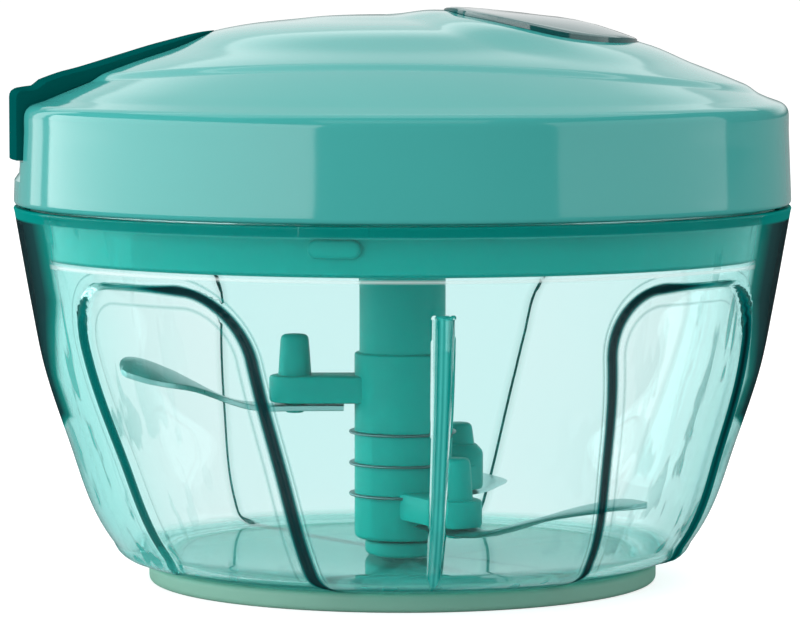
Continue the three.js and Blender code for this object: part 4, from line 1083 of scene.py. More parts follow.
@dataclass
class Bowl(Assembly):
    """The clear bowl with its ribs and sunk panels, the foot under it and the spindle pin's seat."""

    radius: float = 62.0
    height: float = 60.1
    wall: float = 2.6
    underside: float = 1.8
    inside: float = 4.4
    inner_round: float = 4.8
    inner_rows: int = 32
    floor_round: float = 30.0
    lip_radius: float = 57.6
    lip_depth: float = 1.5
    notch_radius: float = 58.5
    notch_turn: float = -10.0
    notch_width: float = 10.4
    edge_round: float = 0.7
    foot_radius: float = 40.7
    foot_height: float = 2.9
    foot_floor: float = 1.5
    foot_rim: float = 2.3
    seat_gap: float = 0.3
    boss_radius: float = 3.4
    boss_height: float = 1.0
    pin_radius: float = 1.6
    bore_gap: float = 0.1
    bore_depth: float = 1.0
    rib_height: float = 1.15
    rib_taper: float = 18.0
    panel_depth: float = 1.1
    face_slack: float = 0.4
    relief: Relief = Relief()
    profile: Curve = (
        (0.053, 0.665), (0.068, 0.713), (0.113, 0.752), (0.19, 0.797), (0.374, 0.861),
        (0.571, 0.923), (0.74, 0.956), (0.874, 0.979), (1.0, 1.0),
    )

    def build(self) -> None:
        """Builds the bowl and its foot."""
        self.build_bowl()
        self.build_foot()

    @property
    def low_height(self) -> float:
        """Height at which the outer profile starts."""
        return self.profile[0][0] * self.height

    def notch(self) -> tuple[float, float]:
        """Turn of a notch's middle within its quarter, and half the turn that it takes up."""
        centre = (self.notch_turn - self.relief.first_rib_turn) % self.relief.quarter
        return centre, math.degrees(self.notch_width / 2 / self.lip_radius)

    def outer(self, height: float) -> float:
        """The bowl's outer radius at a height."""
        return self.radius * follow(self.profile, height / self.height)

    def sunk(self, turn: float, height: float) -> float:
        """How far a panel is sunk at a turn within the quarter and a height."""
        relief = self.relief
        corner = relief.panel_corner
        drop = clamp((relief.field_bottom + relief.field_corner - height) / relief.field_corner)
        flare = relief.field_corner * (1 - math.sqrt(1 - drop * drop))
        across = self.outer(height) * math.radians(abs(turn - relief.panel_middle) - relief.panel_half) - flare
        across += corner
        along = height - relief.panel_top + corner
        beyond = math.hypot(max(across, 0.0), max(along, 0.0))
        within = min(max(across, along), 0.0)
        return self.panel_depth * smooth((corner - beyond - within) / relief.panel_edge)

    def rib(self, away: float, height: float) -> float:
        """How far a rib stands out at a turn from its middle and a height."""
        relief = self.relief
        if height > relief.rib_top + self.edge_round:
            return 0.0
        width = relief.rib_width * mix(relief.rib_foot_share, 1.0, clamp(height / relief.rib_top))
        inside = width / 2 - abs(math.radians(away)) * self.radius
        end = relief.rib_top - height
        rise = clamp((height - self.low_height) / self.rib_taper)
        return self.rib_height * rise * smooth(inside / 0.7 + 0.5) * smooth(end / 0.6 + 0.5)

    def turns(self) -> list[float]:
        """Turns of one half, close together at the ribs, the notches and the panels' sides."""
        relief = self.relief
        quarter = relief.quarter
        turns = set(np.round(np.linspace(0, quarter, 97), 3))
        half_rib = math.degrees(relief.rib_width / 2 / self.radius)
        low, high = relief.panel_sides
        for middle, count in ((half_rib, 8), (quarter - half_rib, 8), (low + 0.4, 7), (high - 0.4, 7)):
            turns.update(np.round(np.linspace(middle - 0.7, middle + 0.7, count), 3))
        centre, half = self.notch()
        for edge in (centre - half, centre + half):
            turns.update((round(edge - 0.03, 3), round(edge + 0.03, 3)))
        one = sorted(turn for turn in turns if 0 <= turn <= quarter)
        return one + [quarter + turn for turn in one[1:]]

    def swung(self, turn: float, swirl: float) -> float:
        """Where a column of the mesh stands once the panels have swung by the swirl."""
        relief = self.relief
        start = relief.quarter * (turn // relief.quarter)
        local = turn - start
        low, high = relief.panel_sides
        share = min(local / low, 1.0, (relief.quarter - local) / (relief.quarter - high))
        return turn + swirl * smooth(share)

    def heights(self) -> list[float]:
        """Heights of the outer rows, close together at the ends of the ribs and the panels."""
        low, high = self.low_height, self.height - self.edge_round
        panel_top, rib_top = self.relief.panel_top, self.relief.rib_top
        heights = set()
        for start, end, count in ((low, high, 44), (panel_top - self.relief.panel_corner, panel_top + 0.3, 26),
                                  (low, low + 4, 9), (rib_top - 0.6, rib_top + 0.6, 7)):
            heights.update(np.round(np.linspace(start, end, count), 3))
        return sorted(height for height in heights if low <= height <= high)

    def build_bowl(self) -> None:
        """One half of the wall as rows from the underside over the rim and down inside, copied round."""
        turns = self.turns()
        relief = self.relief
        seat = self.foot_radius - self.foot_rim - self.seat_gap
        rows: list[list[Point]] = []

        def row(radius_at: Callable[[float], float], height: float, swirl: float = 0.0) -> None:
            """Adds one row, its columns swung by the swirl."""
            rows.append([
                polar(radius_at(turn), relief.first_rib_turn + self.swung(turn, swirl), height) for turn in turns
            ])

        def plain(radius: float, height: float, swirl: float = 0.0) -> None:
            """Adds a round row."""
            row(lambda turn: radius, height, swirl)

        def rounded(corners: Profile, part: slice, steps: int = 4, swirl: float = 0.0) -> None:
            """Adds round rows along a part of a rounded section."""
            for radius, height in filleted(corners, steps, closed=False)[part]:
                plain(radius, height, swirl)

        low = self.low_height
        start = relief.swirl(low)
        plain(0.0, self.underside, start)
        rounded(((seat / 2, self.underside, 0), (seat, self.underside, self.edge_round), (seat, low, 0)),
                slice(-1), swirl=start)
        for height in self.heights():

            def outer_at(turn: float, height: float = height) -> float:
                """The outer radius with the ribs and the panels."""
                near_rib = min(turn, 2 * relief.quarter - turn)
                return self.outer(height) - self.sunk(turn % relief.quarter, height) + self.rib(near_rib, height)

            row(outer_at, height, max(relief.swirl(height), 0.0))
        edge = self.edge_round
        rounded(((self.radius, self.height - edge, 0), (self.radius, self.height, edge),
                 (self.lip_radius + 2, self.height, 0)), slice(1, None))
        centre, half = self.notch()

        def lip_at(turn: float) -> float:
            """The lip's inner radius with its notches."""
            return self.notch_radius if abs(turn % relief.quarter - centre) <= half else self.lip_radius

        lip_bottom = self.height - self.lip_depth
        row(lip_at, self.height)
        row(lip_at, lip_bottom)
        plain(self.outer(lip_bottom) - self.wall, lip_bottom)
        round_top = self.inside + self.inner_round
        for height in np.linspace(lip_bottom, round_top, self.inner_rows)[1:]:
            plain(self.outer(height) - self.wall, float(height))
        wall = self.outer(round_top) - self.wall
        slope = (self.outer(round_top + 1) - self.wall - wall) * self.inner_round
        floor = wall - slope - 2 * self.inner_round
        rounded(((wall, round_top, 0), (wall - slope, self.inside, self.floor_round), (floor, self.inside, 0)),
                slice(1, None), 12)
        for share in (0.66, 0.33):
            plain(mix(self.boss_radius, floor, share), self.inside)
        bore, boss, boss_top = self.pin_radius + self.bore_gap, self.boss_radius, self.inside + self.boss_height
        rounded(((boss + 2, self.inside, 0), (boss, self.inside, 0.5), (boss, boss_top, 0.3), (bore, boss_top, 0.1),
                 (bore, self.inside - self.bore_depth, 0)), slice(None), 3)
        plain(0.0, self.inside - self.bore_depth)
        obj = loft(rows, wrap=False, caps=False).piece("bowl_shell", 50)
        self.shop.make(obj, Form.COPIES, {"Count": 2, "Turn Step": 2 * relief.quarter}, self.finishes.bowl, 50)
        self.mark_outside(obj)
        self.seat(obj, self.finishes.bowl, "bowl_body", "clear_teal", "bowl")

    def mark_outside(self, obj: Object) -> None:
        """Stores which points lie on the outer face, for the finish."""
        def outside(place: Vector) -> float:
            """1 on the outer face, above its rounded bottom edge."""
            point = place / MM
            reach = self.outer(point.z) - self.panel_depth - self.face_slack
            return float(point.z > 0.6 * self.relief.field_bottom and math.hypot(point.x, point.y) > reach)

        attribute = obj.data.attributes.new("outside", "FLOAT", "POINT")
        attribute.data.foreach_set("value", [outside(vertex.co) for vertex in obj.data.vertices])

    def build_foot(self) -> None:
        """The non-slip foot: a shallow tray that the bowl sits in."""
        outer, inner = self.foot_radius, self.foot_radius - self.foot_rim
        ring = spun((
            (0, 0, 0), (outer - 6, 0, 0), (outer, 0, 0.9), (outer, self.foot_height, 0.9),
            (inner, self.foot_height, 0.5), (inner, self.foot_floor, 0.4), (0, self.foot_floor, 0),
        ), 160, 5)
        self.seat(ring.piece("foot_ring"), self.finishes.foot, "bowl_body", "pale_foot", "base_foot")


@dataclass(frozen=True)
class Arm:
    """One arm of the column: its turn, underside, its blade's rise, its boss, and the blade's shape."""

    turn: float
    height: float
    rise: float
    boss: float
    reach: float
    sweep: float
    bank: float


@dataclass
class BladeUnit(Assembly):
    """The moulded column with its arms, pegs, washers and blades."""

    lower_radius: float = 7.7
    upper_radius: float = 6.9
    bottom: float = 6.9
    step: float = 36.5
    top: float = 52.0
    bore: float = 3.5
    bore_top: float = 14.3
    socket_corner: float = 4.9
    socket_depth: float = 10.5
    washer_radius: float = 8.6
    washer_seat: float = 5.8
    washer_thick: float = 0.4
    washer_first: float = 13.9
    washer_pitch: float = 5.0
    washer_count: int = 3
    arm_start: float = 2.0
    arm_reach: float = 21.4
    arm_width: float = 8.2
    arm_thick: float = 4.3
    peg_reach: float = 17.3
    peg_radius: float = 2.65
    peg_tip: float = 2.2
    peg_height: float = 6.6
    stake_radius: float = 1.5
    stake_depth: float = 1.7
    blade_thick: float = 0.9
    blade_root: float = 9.4
    blade_width: float = 11.5
    hole_radius: float = 1.7
    lean: float = 18.0
    bush: Turned = Turned("bush_turned", "teal", "bush_body", "teal_moulding", "pivot_bush", 64, 4, (
        (0, 12.3, 0), (1.9, 12.3, 0.1), (1.9, 5.7, 0.1), (3.7, 5.7, 0.1), (3.7, 4.7, 0.1), (6.0, 4.7, 0.4),
        (6.0, 6.6, 0.5), (3.2, 6.6, 0.2), (3.2, 14.0, 0.3), (0, 14.0, 0),
    ))
    arms: tuple[Arm, ...] = (
        Arm(180, 28.6, 7.02, 0.0, 47.43, 24, -20), Arm(58, 12.9, 0.6, 3.12, 43.6, 20, 6),
        Arm(-61, 10.4, 4.8, 0.0, 43.6, 31, 2),
    )
    blade_section: Curve = (
        (1, 0.12), (0.98, 0.02), (0.9, 0), (-0.55, 0), (-0.97, 0.42), (-1, 0.5), (-0.97, 0.58), (-0.55, 0.96),
        (0.9, 1), (0.98, 0.98), (1, 0.88),
    )
    blade_rows: tuple[tuple[float, float, float, float], ...] = (
        (0, 0.55, 0, 0), (0.2, 0.6, 0, 0.01), (0.36, 0.6, 0, 0.04), (0.44, 0.55, 0.06, 0.1),
        (0.52, 0.6, 0.22, 0.2), (0.62, 0.78, 0.5, 0.36), (0.72, 0.95, 0.76, 0.54),
        (0.82, 1, 0.93, 0.72), (0.9, 0.86, 1, 0.86), (0.96, 0.52, 1, 0.95), (1, 0.12, 1, 1),
    )

    def build(self) -> None:
        """Builds the column, the bush, the washers and the blades."""
        self.build_column()
        self.turn(self.bush)
        self.build_washers()
        for number, arm in enumerate(self.arms, 1):
            self.build_blade(number, arm)

    def build_column(self) -> None:
        """The post with rounded shoulders, three arms and their pegs."""
        obj = spun((
            (0, self.bore_top, 0), (self.bore, self.bore_top, 0.2), (self.bore, self.bottom, 0.3),
            (self.lower_radius, self.bottom, 0.9), (self.lower_radius, self.step, 0.5),
            (self.upper_radius, self.step, 0.3), (self.upper_radius, self.top, 0.8), (0, self.top, 0),
        ), 72).piece("column")
        hexagon = [polar(self.socket_corner, 60 * k)[:2] for k in range(6)]
        socket = prism(hexagon, self.top - self.socket_depth, self.top + 2).piece("socket_tool")
        without(obj, socket)
        parts = Shape()
        for arm in self.arms:
            peg = self.peg(arm.height, arm.boss)
            parts.add(self.arm(arm.height).turned(arm.turn), peg.moved(self.peg_reach).turned(arm.turn))
        joined(obj, parts.piece("column_arms"))
        self.seat(obj, self.finishes.teal, "blade_unit", "teal_moulding", "blade_column")

    def arm(self, height: float) -> Shape:
        """One arm: a bar with a round end and rounded edges."""
        thick, start = self.arm_thick, self.arm_start
        length, rows = self.arm_reach - start, []
        for inset, rise in ((0.5, 0.0), (0.15, 0.15), (0.0, 0.5), (0.0, thick - 0.5), (0.15, thick - 0.15),
                            (0.5, thick)):
            outline = oval_outline(length - 2 * inset, self.arm_width - 2 * inset)
            rows.append([(x + start + length / 2, y, height + rise) for x, y in outline])
        return loft(rows)

    def peg(self, height: float, boss: float) -> Shape:
        """The peg on an arm, with the boss below it and the stake under the arm."""
        top = height + self.arm_thick + self.peg_height
        foot = height + self.arm_thick + boss
        stake, low, sunk, wide = self.stake_radius, height - self.stake_depth, height + 0.3, self.arm_width / 2
        section = [(0, low, 0), (stake, low, 0.4), (stake, sunk, 0), (self.peg_radius, sunk, 0)]
        if boss > 0:
            section += [(wide, height + 1, 0.2), (wide, foot - 1.2, 0.6), (self.peg_radius + 0.3, foot, 0.6)]
        return spun([*section, (self.peg_radius, foot, 0.3), (self.peg_tip, top, 1.0), (0, top, 0)], 40)

    def build_washers(self) -> None:
        """Three steel washers let into the column, stacked by the copies form."""
        low, high = (self.washer_first + side * self.washer_thick / 2 for side in (-1, 1))
        inner, outer = self.washer_seat, self.washer_radius
        section = ((inner, low, 0.05), (outer, low, 0.2), (outer, high, 0.2), (inner, high, 0.05))
        obj = spun(section, 72, 3).piece("washer_stack")
        self.shop.make(obj, Form.COPIES, {
            "Count": self.washer_count, "Turn Step": 0.0, "Rise Step": self.washer_pitch * MM,
        }, self.finishes.washer)
        nodes = [f"column_washer_{k}" for k in range(1, self.washer_count + 1)]
        self.seat(obj, self.finishes.washer, "blade_unit", "blade_steel", *nodes)

    def build_blade(self, number: int, arm: Arm) -> None:
        """A swept blade: ground edge in front, rounded tip, lifted and banked along its outer half."""
        face = arm.height - 0.3
        widths, rises, sweeps = ([(row[0], row[i]) for row in self.blade_rows] for i in (1, 2, 3))
        rows = []
        for along in np.linspace(0, 1, 45):
            width = max(follow(widths, along), 0.06)
            reach = mix(self.blade_root, arm.reach, along)
            swept = follow(sweeps, along) * arm.sweep
            lifted = follow(rises, along)
            middle = Vector(polar(reach, swept, face + lifted * arm.rise))
            lean = swept + self.lean * smooth((along - 0.36) / 0.12)
            side = Vector(polar(1, lean + 90, math.sin(math.radians(arm.bank * lifted))))
            half = width * self.blade_width / 2
            rows.append([tuple(middle + side * across * half - Vector((0, 0, down * self.blade_thick)))
                         for across, down in self.blade_section])
        blade = loft(rows).turned(arm.turn).piece(f"blade_{number}_swept", 25)
        x, y, _ = polar(self.peg_reach, arm.turn)
        hole = rod(self.hole_radius, arm.height - 4, arm.height + 1, 32).moved(x, y)
        without(blade, hole.piece("hole_tool"), sharp=25)
        self.seat(blade, self.finishes.blade, "blade_unit", "blade_steel", f"blade_{number}")


@dataclass
class Lid(Assembly):
    """The domed shell, its plate and handle, the inner lid, the cord and what shows of the drive."""

    radius: float = 62.0
    wall: float = 1.8
    bottom: float = 60.4
    shoulder: float = 76.2
    rise: float = 13.7
    draft: float = 0.5
    shoulder_drop: float = 2.0
    dome: Curve = (
        (0, 1), (0.19, 0.984), (0.268, 0.951), (0.4, 0.886), (0.49, 0.804), (0.61, 0.625),
        (0.706, 0.495), (0.763, 0.405), (0.879, 0.195), (0.945, 0.065), (0.982, 0),
    )
    dome_edge: float = 0.982
    brim: float = 0.94
    shoulder_round: float = 5.5
    roof_share: float = 0.93
    crease_offset: float = 2.0
    crease_length: float = 55.0
    crease_breadth: float = 45.5
    crease_step: float = 0.5
    crease_run: float = 0.955
    swell_offset: float = 22.0
    swell_length: float = 24.6
    swell_breadth: float = 36.0
    swell_rise: float = 0.75
    swell_edge: float = 0.3
    plate_length: float = 15.4
    plate_breadth: float = 24.0
    plate_proud: float = 0.35
    plate_lean: float = 0.6
    plate_sink: float = 1.0
    gap: float = 0.3
    handle_sink_side: float = 0.5
    handle_sink_top: float = 0.45
    handle_side: float = 1.1
    handle_half: float = 17.0
    handle_bottom: float = 67.8
    handle_corner: float = 78.8
    handle_tip: float = 30.4
    handle_round: float = 1.4
    scoop_share: float = 0.9
    handle_inner_bend: float = 3.2
    handle_outer_bend: float = 4.6
    handle_rows: Curve = (
        (0, 1), (0.16, 1), (0.34, 0.97), (0.52, 0.9), (0.7, 0.77), (0.86, 0.58), (0.96, 0.36), (1, 0.2),
    )
    handle_thick: Curve = (
        (0, 3.2), (0.15, 2.9), (0.35, 1.95), (0.55, 1.5), (0.75, 1.45), (0.94, 0.9), (1, 0.55),
    )
    cord_height: float = 70.7
    cord_radius: float = 0.9
    winding_radius: float = 18.9
    plug_radius: float = 57.2
    plug_bottom: float = 52.4
    plug_wall: float = 1.8
    plate_under: float = 54.3
    plate_top: float = 56.1
    rim_radius: float = 59.4
    rim_low: float = 61.9
    rim_high: float = 63.4
    neck_radius: float = 10.2
    neck_bore: float = 8.2
    neck_top: float = 58.7
    lug_turn: float = -10.0
    lug_length: float = 8.0
    lug_width: float = 2.8
    lug_height: float = 56.7
    screw_ring: float = 44.0
    screw_turn: float = 30.0
    screw_section: Profile = (
        (0, 52.7, 0), (2.9, 52.7, 0.7), (2.9, 54.0, 0.15), (1.4, 54.0, 0.1), (1.4, 64.9, 0), (0, 66.3, 0),
    )
    screw_hole: float = 1.7
    eye_radius: float = 2.6
    ferrule_hole: float = 2.1
    cord_inside: float = -57.2
    cord_outside: float = -61.6
    spring_turns: float = 5.0
    spring_inner: float = 5.6
    spring_outer: float = 20.9
    spring_breadth: float = 5.5
    spring_thick: float = 0.6
    spring_bottom: float = 75.8
    drum_radius: float = 15.3
    drum_bottom: float = 67.85
    layer_rise: float = 3.9
    layer_turns: float = 2.9
    ferrule: Turned = Turned("ferrule_turned", "blade", "handle_body", "blade_steel", "cord_ferrule", 40, 3, (
        (0, -62.5, 0), (1.8, -62.5, 0.3), (1.8, -61.5, 0.15), (0, -61.5, 0),
    ), cord_height)
    turned: tuple[Turned, ...] = (
        Turned("seal_turned", "silicone", "seal_body", "silicone", "seal_ring", 160, 4, (
            (58.1, 60.4, 0.4), (59.4, 60.4, 0.4), (59.4, 61.6, 0.4), (58.1, 61.6, 0.4),
        )),
        Turned("shaft_bush_turned", "white", "lid_body", "white_moulding", "shaft_bush", 72, 3, (
            (6.0, 53.2, 0.3), (9.7, 53.2, 0.3), (9.7, 54.0, 0.2), (7.9, 54.0, 0.1), (7.9, 58.7, 0.3),
            (6.0, 58.7, 0.3),
        )),
        Turned("eyelet_turned", "blade", "lid_body", "blade_steel", "cord_eyelet", 48, 4, (
            (1.3, -60.9, 0.3), (2.3, -60.9, 0.3), (2.3, -59.4, 0.05), (3.1, -59.4, 0.3), (3.1, -58.5, 0.3),
            (1.3, -58.5, 0.4),
        ), cord_height),
    )

    def build(self) -> None:
        """Builds the lid's pieces from the shell inwards."""
        self.build_shell()
        self.build_plate()
        self.build_handle()
        self.build_inner_lid()
        self.turn(*self.turned)
        self.build_screws()
        self.build_spring()
        self.build_cord()

    def dome_at(self, radius: float) -> float:
        """Height of the plain dome at a radius."""
        return self.shoulder + self.rise * follow(self.dome, min(radius / self.radius, self.dome_edge))

    def top_at(self, x: float, y: float) -> float:
        """Height of the lid's top face, with its raised middle and the oval swell."""
        crease = math.hypot((x - self.crease_offset) / self.crease_length, y / self.crease_breadth)
        swell = math.hypot((x - self.swell_offset) / self.swell_length, y / self.swell_breadth)
        raised = smooth((1 - crease) / (1 - self.crease_run)) * self.crease_step
        swollen = smooth((1 - swell) / self.swell_edge) * self.swell_rise
        return self.dome_at(math.hypot(x, y)) + raised + swollen

    def crease_reach(self, turn: float) -> float:
        """Distance from the axis to the crease at a turn."""
        c, s, _ = polar(1, turn)
        a = (c / self.crease_length) ** 2 + (s / self.crease_breadth) ** 2
        b = -2 * self.crease_offset * c / self.crease_length ** 2
        d = (self.crease_offset / self.crease_length) ** 2 - 1
        return (-b + math.sqrt(b * b - 4 * a * d)) / (2 * a)

    def build_shell(self) -> None:
        """The shell: dome, crease, rounded shoulder and skirt, with its pockets cut."""
        turns = full_turn(240)
        reaches = [self.crease_reach(turn) for turn in turns]
        crease, past = self.crease_run, 1.004
        shares = (0.0, *np.linspace(0.06, crease - 0.02, 34), *np.linspace(crease - 0.006, past, 14))
        spots = [[polar(share * reach, turn) for reach, turn in zip(reaches, turns)] for share in shares]
        rows = [[(x, y, self.top_at(x, y)) for x, y, _ in row] for row in spots]
        rim = self.brim * self.radius
        for share in np.linspace(0.04, 1, 12):
            row = [mix(reach * past, rim, share) for reach in reaches]
            rows.append([polar(radius, turn, self.dome_at(radius)) for radius, turn in zip(row, turns)])
        start = self.shoulder - self.shoulder_drop - 2
        inner, side = self.radius - self.wall, self.radius - self.draft
        roof = inner * self.roof_share
        section = filleted((
            (rim, self.dome_at(rim), 0), (side, self.shoulder - 0.1, self.shoulder_round), (side, start, 0),
            (self.radius, self.bottom, 1.0), (inner, self.bottom, 0.3), (inner - self.draft, self.shoulder - 1, 0.4),
            (roof, self.dome_at(roof) - self.wall, 0),
        ), 8, closed=False)[1:]
        low = next(k for k, (_, height) in enumerate(section) if height < self.bottom + 1)
        section[low:low] = [
            (mix(side, self.radius, (start - z) / (start - self.bottom)), z)
            for z in np.linspace(start, self.bottom + 0.6, 6)[1:-1]
        ]
        section += [(inner * share, self.dome_at(inner * share) - self.wall) for share in (0.8, 0.6, 0.4, 0.2, 0.0)]
        rows += [[polar(radius, turn, height) for turn in turns] for radius, height in section]
        obj = loft(rows, caps=False).piece("lid_dome", 28)
        eye = rod(self.eye_radius, -64, -56, 40).along_x(self.cord_height)
        without(
            obj, self.handle_body(self.gap).piece("handle_tool"), self.plate_body(self.gap, 2.0).piece("plate_tool"),
            self.scoop().piece("scoop_tool"), eye.piece("eye_tool"), sharp=28,
        )
        self.seat(obj, self.finishes.mint, "lid_body", "mint_shell", "lid_shell")

    def handle_lines(self, grow: float) -> tuple[list[tuple[float, float]], list[tuple[float, float]]]:
        """The handle's section along its middle: the inner and the outer line as (radius, height)."""
        inner = self.radius - self.handle_sink_side - grow
        outer = inner + self.handle_side + 2 * grow
        tip = self.handle_tip - grow
        bottom, corner = self.handle_bottom - grow, self.handle_corner + grow

        def along(radius: float) -> float:
            """Share of the way from the outer face to the tip."""
            return (outer - radius) / (outer - tip)

        def floor(radius: float) -> float:
            """Height of the handle's underside on the lid."""
            step = self.crease_step * clamp(along(radius) / 0.25)
            return self.dome_at(min(radius, self.dome_edge * inner)) + step - self.handle_sink_top - grow

        def roof(radius: float) -> float:
            """Height of the handle's top."""
            return floor(radius) + follow(self.handle_thick, clamp(along(radius))) + 2 * grow

        first, start = inner - self.handle_inner_bend, outer - self.handle_outer_bend
        shoulder, rim = self.shoulder - 0.4 - grow, outer - 2.9
        low = filleted(((inner, bottom, 0), (inner, shoulder, 2.6), (first, floor(first), 0)), 10, closed=False)
        low += [(radius, floor(radius)) for radius in np.linspace(first, tip, 60)[1:]]
        high = filleted(((outer, bottom, 0), (outer, corner, self.handle_round), (rim, corner - 0.1, 1.2),
                         (start, roof(start), 0)), 10, closed=False)
        high += [(radius, roof(radius)) for radius in np.linspace(start, tip, 60)[1:]]
        return low, high

    def handle_stations(self, grow: float) -> list[tuple[float, Vector, Vector]]:
        """The handle's outline: share of its half width, then inner and outer (radius, height)."""
        low, high = (evenly(line, 84) for line in self.handle_lines(grow))
        side = high[0].x - self.handle_round
        stations = []
        for inner, outer in zip(low, high):
            along = clamp((side - outer.x) / (side - self.handle_tip + grow))
            stations.append((max(follow(self.handle_rows, along), 0.2), inner, outer))
        return stations

    def handle_body(self, grow: float) -> Shape:
        """The handle that wraps the shoulder, grown by a clearance when it cuts its pocket."""
        lateral = [-1, -0.98, *np.linspace(-0.9, 0.9, 19), 0.98, 1]
        rows = []
        for width, inner, outer in self.handle_stations(grow):
            half = self.handle_half * width + grow
            rows.append([on_side(outer.x, s * half, outer.y) for s in lateral]
                        + [on_side(inner.x, s * half, inner.y) for s in reversed(lateral)])
        return loft(rows, band=True)

    def scoop(self) -> Shape:
        """The shallow scoop below the handle's edge."""
        inner = self.radius - 0.5 - self.draft
        outer = self.radius + 2
        half = self.handle_half * self.scoop_share
        lateral = np.linspace(-1, 1, 21)
        return loft([
            [on_side(outer, s * half, self.handle_bottom + rise) for s in lateral]
            + [on_side(deep, s * half, self.handle_bottom + rise) for s in reversed(lateral)]
            for rise, deep in ((-4.0, self.radius + self.gap), (-3.4, self.radius - 0.2), (-2.4, inner + 0.1),
                               (-1.4, inner), (-0.15, inner))
        ], band=True)

    def plate_body(self, grow: float, lift: float) -> Shape:
        """The oval plate let into the swell, grown by a clearance when it cuts its pocket."""
        def row(share: float, height: float, lean: float = 0.0) -> list[Point]:
            """One oval of the plate that follows the lid's top and leans up towards the near side."""
            points = []
            for c, s, _ in (polar(1, turn) for turn in full_turn(96)):
                x = self.swell_offset + (self.plate_length + grow) * share * c
                y = (self.plate_breadth + grow) * share * s
                points.append((x, y, self.top_at(x, y) + height + clamp(-2 * s) * share * lean))
            return points

        top, low = self.plate_proud + lift, -self.plate_sink - grow
        rim = ((0.2, 0), (0.4, 0), (0.6, 0), (0.8, 0), (0.93, 0), (0.965, 0.02), (0.985, 0.08), (1.0, 0.22))
        return loft([row(share, top - drop, self.plate_lean) for share, drop in rim]
                    + [row(share, low) for share in (1.0, 0.8, 0.6, 0.4, 0.2)])

    def build_plate(self) -> None:
        """The dark oval plate on the swell."""
        plate = self.plate_body(0, 0).piece("oval_plate")
        self.seat(plate, self.finishes.plate, "lid_body", "dark_teal", "top_plate")

    def build_handle(self) -> None:
        """The pull handle with its rounded edges, and the cord's ferrule in its hole."""
        obj = self.handle_body(0).piece("handle_shell", 45, 0.22)
        hole = rod(self.ferrule_hole, -66, -58, 40).along_x(self.cord_height)
        without(obj, hole.piece("ferrule_tool"), sharp=30)
        self.seat(obj, self.finishes.dark, "handle_body", "dark_teal", "pull_handle")
        self.turn(self.ferrule)

    def build_inner_lid(self) -> None:
        """The plug that closes the bowl's mouth: one turned body with a lug in each quarter."""
        outer, inner = self.plug_radius, self.plug_radius - self.plug_wall
        body = spun((
            (inner, self.plug_bottom, 0.4), (outer, self.plug_bottom, 0.6), (outer, self.rim_low, 0.3),
            (self.rim_radius, self.rim_low, 0.2), (self.rim_radius, self.rim_high, 0.3), (inner, self.rim_high, 0.3),
            (inner, self.plate_top, 0.6), (self.neck_radius, self.plate_top, 0.5),
            (self.neck_radius, self.neck_top, 0.3), (self.neck_bore, self.neck_top, 0.2),
            (self.neck_bore, self.plate_under, 0.1), (inner, self.plate_under, 0.8),
        ), 192).piece("inner_lid_turned")
        for turn in (0, 120, 240):
            x, y, _ = polar(self.screw_ring, self.screw_turn + turn)
            without(body, rod(self.screw_hole, 53, 58, 24).moved(x, y).piece("screw_hole"))
        self.seat(body, self.finishes.teal, "lid_body", "teal_moulding", "inner_lid")
        lugs = loft([
            [(outer + reach, y, self.lug_height + z)
             for y, z in oval_outline(self.lug_length - 2 * inset, self.lug_width - 2 * inset, 12)]
            for inset, reach in ((0.0, -0.8), (0.0, 0.6), (0.15, 0.85), (0.5, 1.0))
        ]).piece("lug_ring")
        self.shop.make(lugs, Form.COPIES, {"Count": 4, "Turn Step": 90.0, "First Turn": self.lug_turn},
                       self.finishes.teal)
        self.seat(lugs, self.finishes.teal, "lid_body", "teal_moulding")

    def build_screws(self) -> None:
        """Three screws on their ring, copied from one with its slot cut."""
        screw = spun(self.screw_section, 40).moved(self.screw_ring).piece("screw_set")
        near, far, half = self.screw_ring - 4, self.screw_ring + 4, 0.4
        slot = prism([(near, -half), (far, -half), (far, half), (near, half)], 52.0, 53.3)
        without(screw, slot.piece("slot_tool"))
        self.shop.make(screw, Form.COPIES, {"Count": 3, "Turn Step": 120.0, "First Turn": self.screw_turn},
                       self.finishes.blade)
        self.seat(screw, self.finishes.blade, "lid_body", "blade_steel", "lid_screw_1", "lid_screw_2", "lid_screw_3")

    def build_spring(self) -> None:
        """The spiral return spring, wound by its own form."""
        spring = self.shop.empty("spring_strip")
        self.shop.make(spring, Form.STRIP, {
            "Turns": self.spring_turns, "Bottom": self.spring_bottom * MM,
            "Inner Radius": self.spring_inner * MM, "Outer Radius": self.spring_outer * MM,
            "Breadth": self.spring_breadth * MM, "Thickness": self.spring_thick * MM,
        }, self.finishes.spring)
        self.seat(spring, self.finishes.spring, "lid_body", "spring_steel", "return_spring")

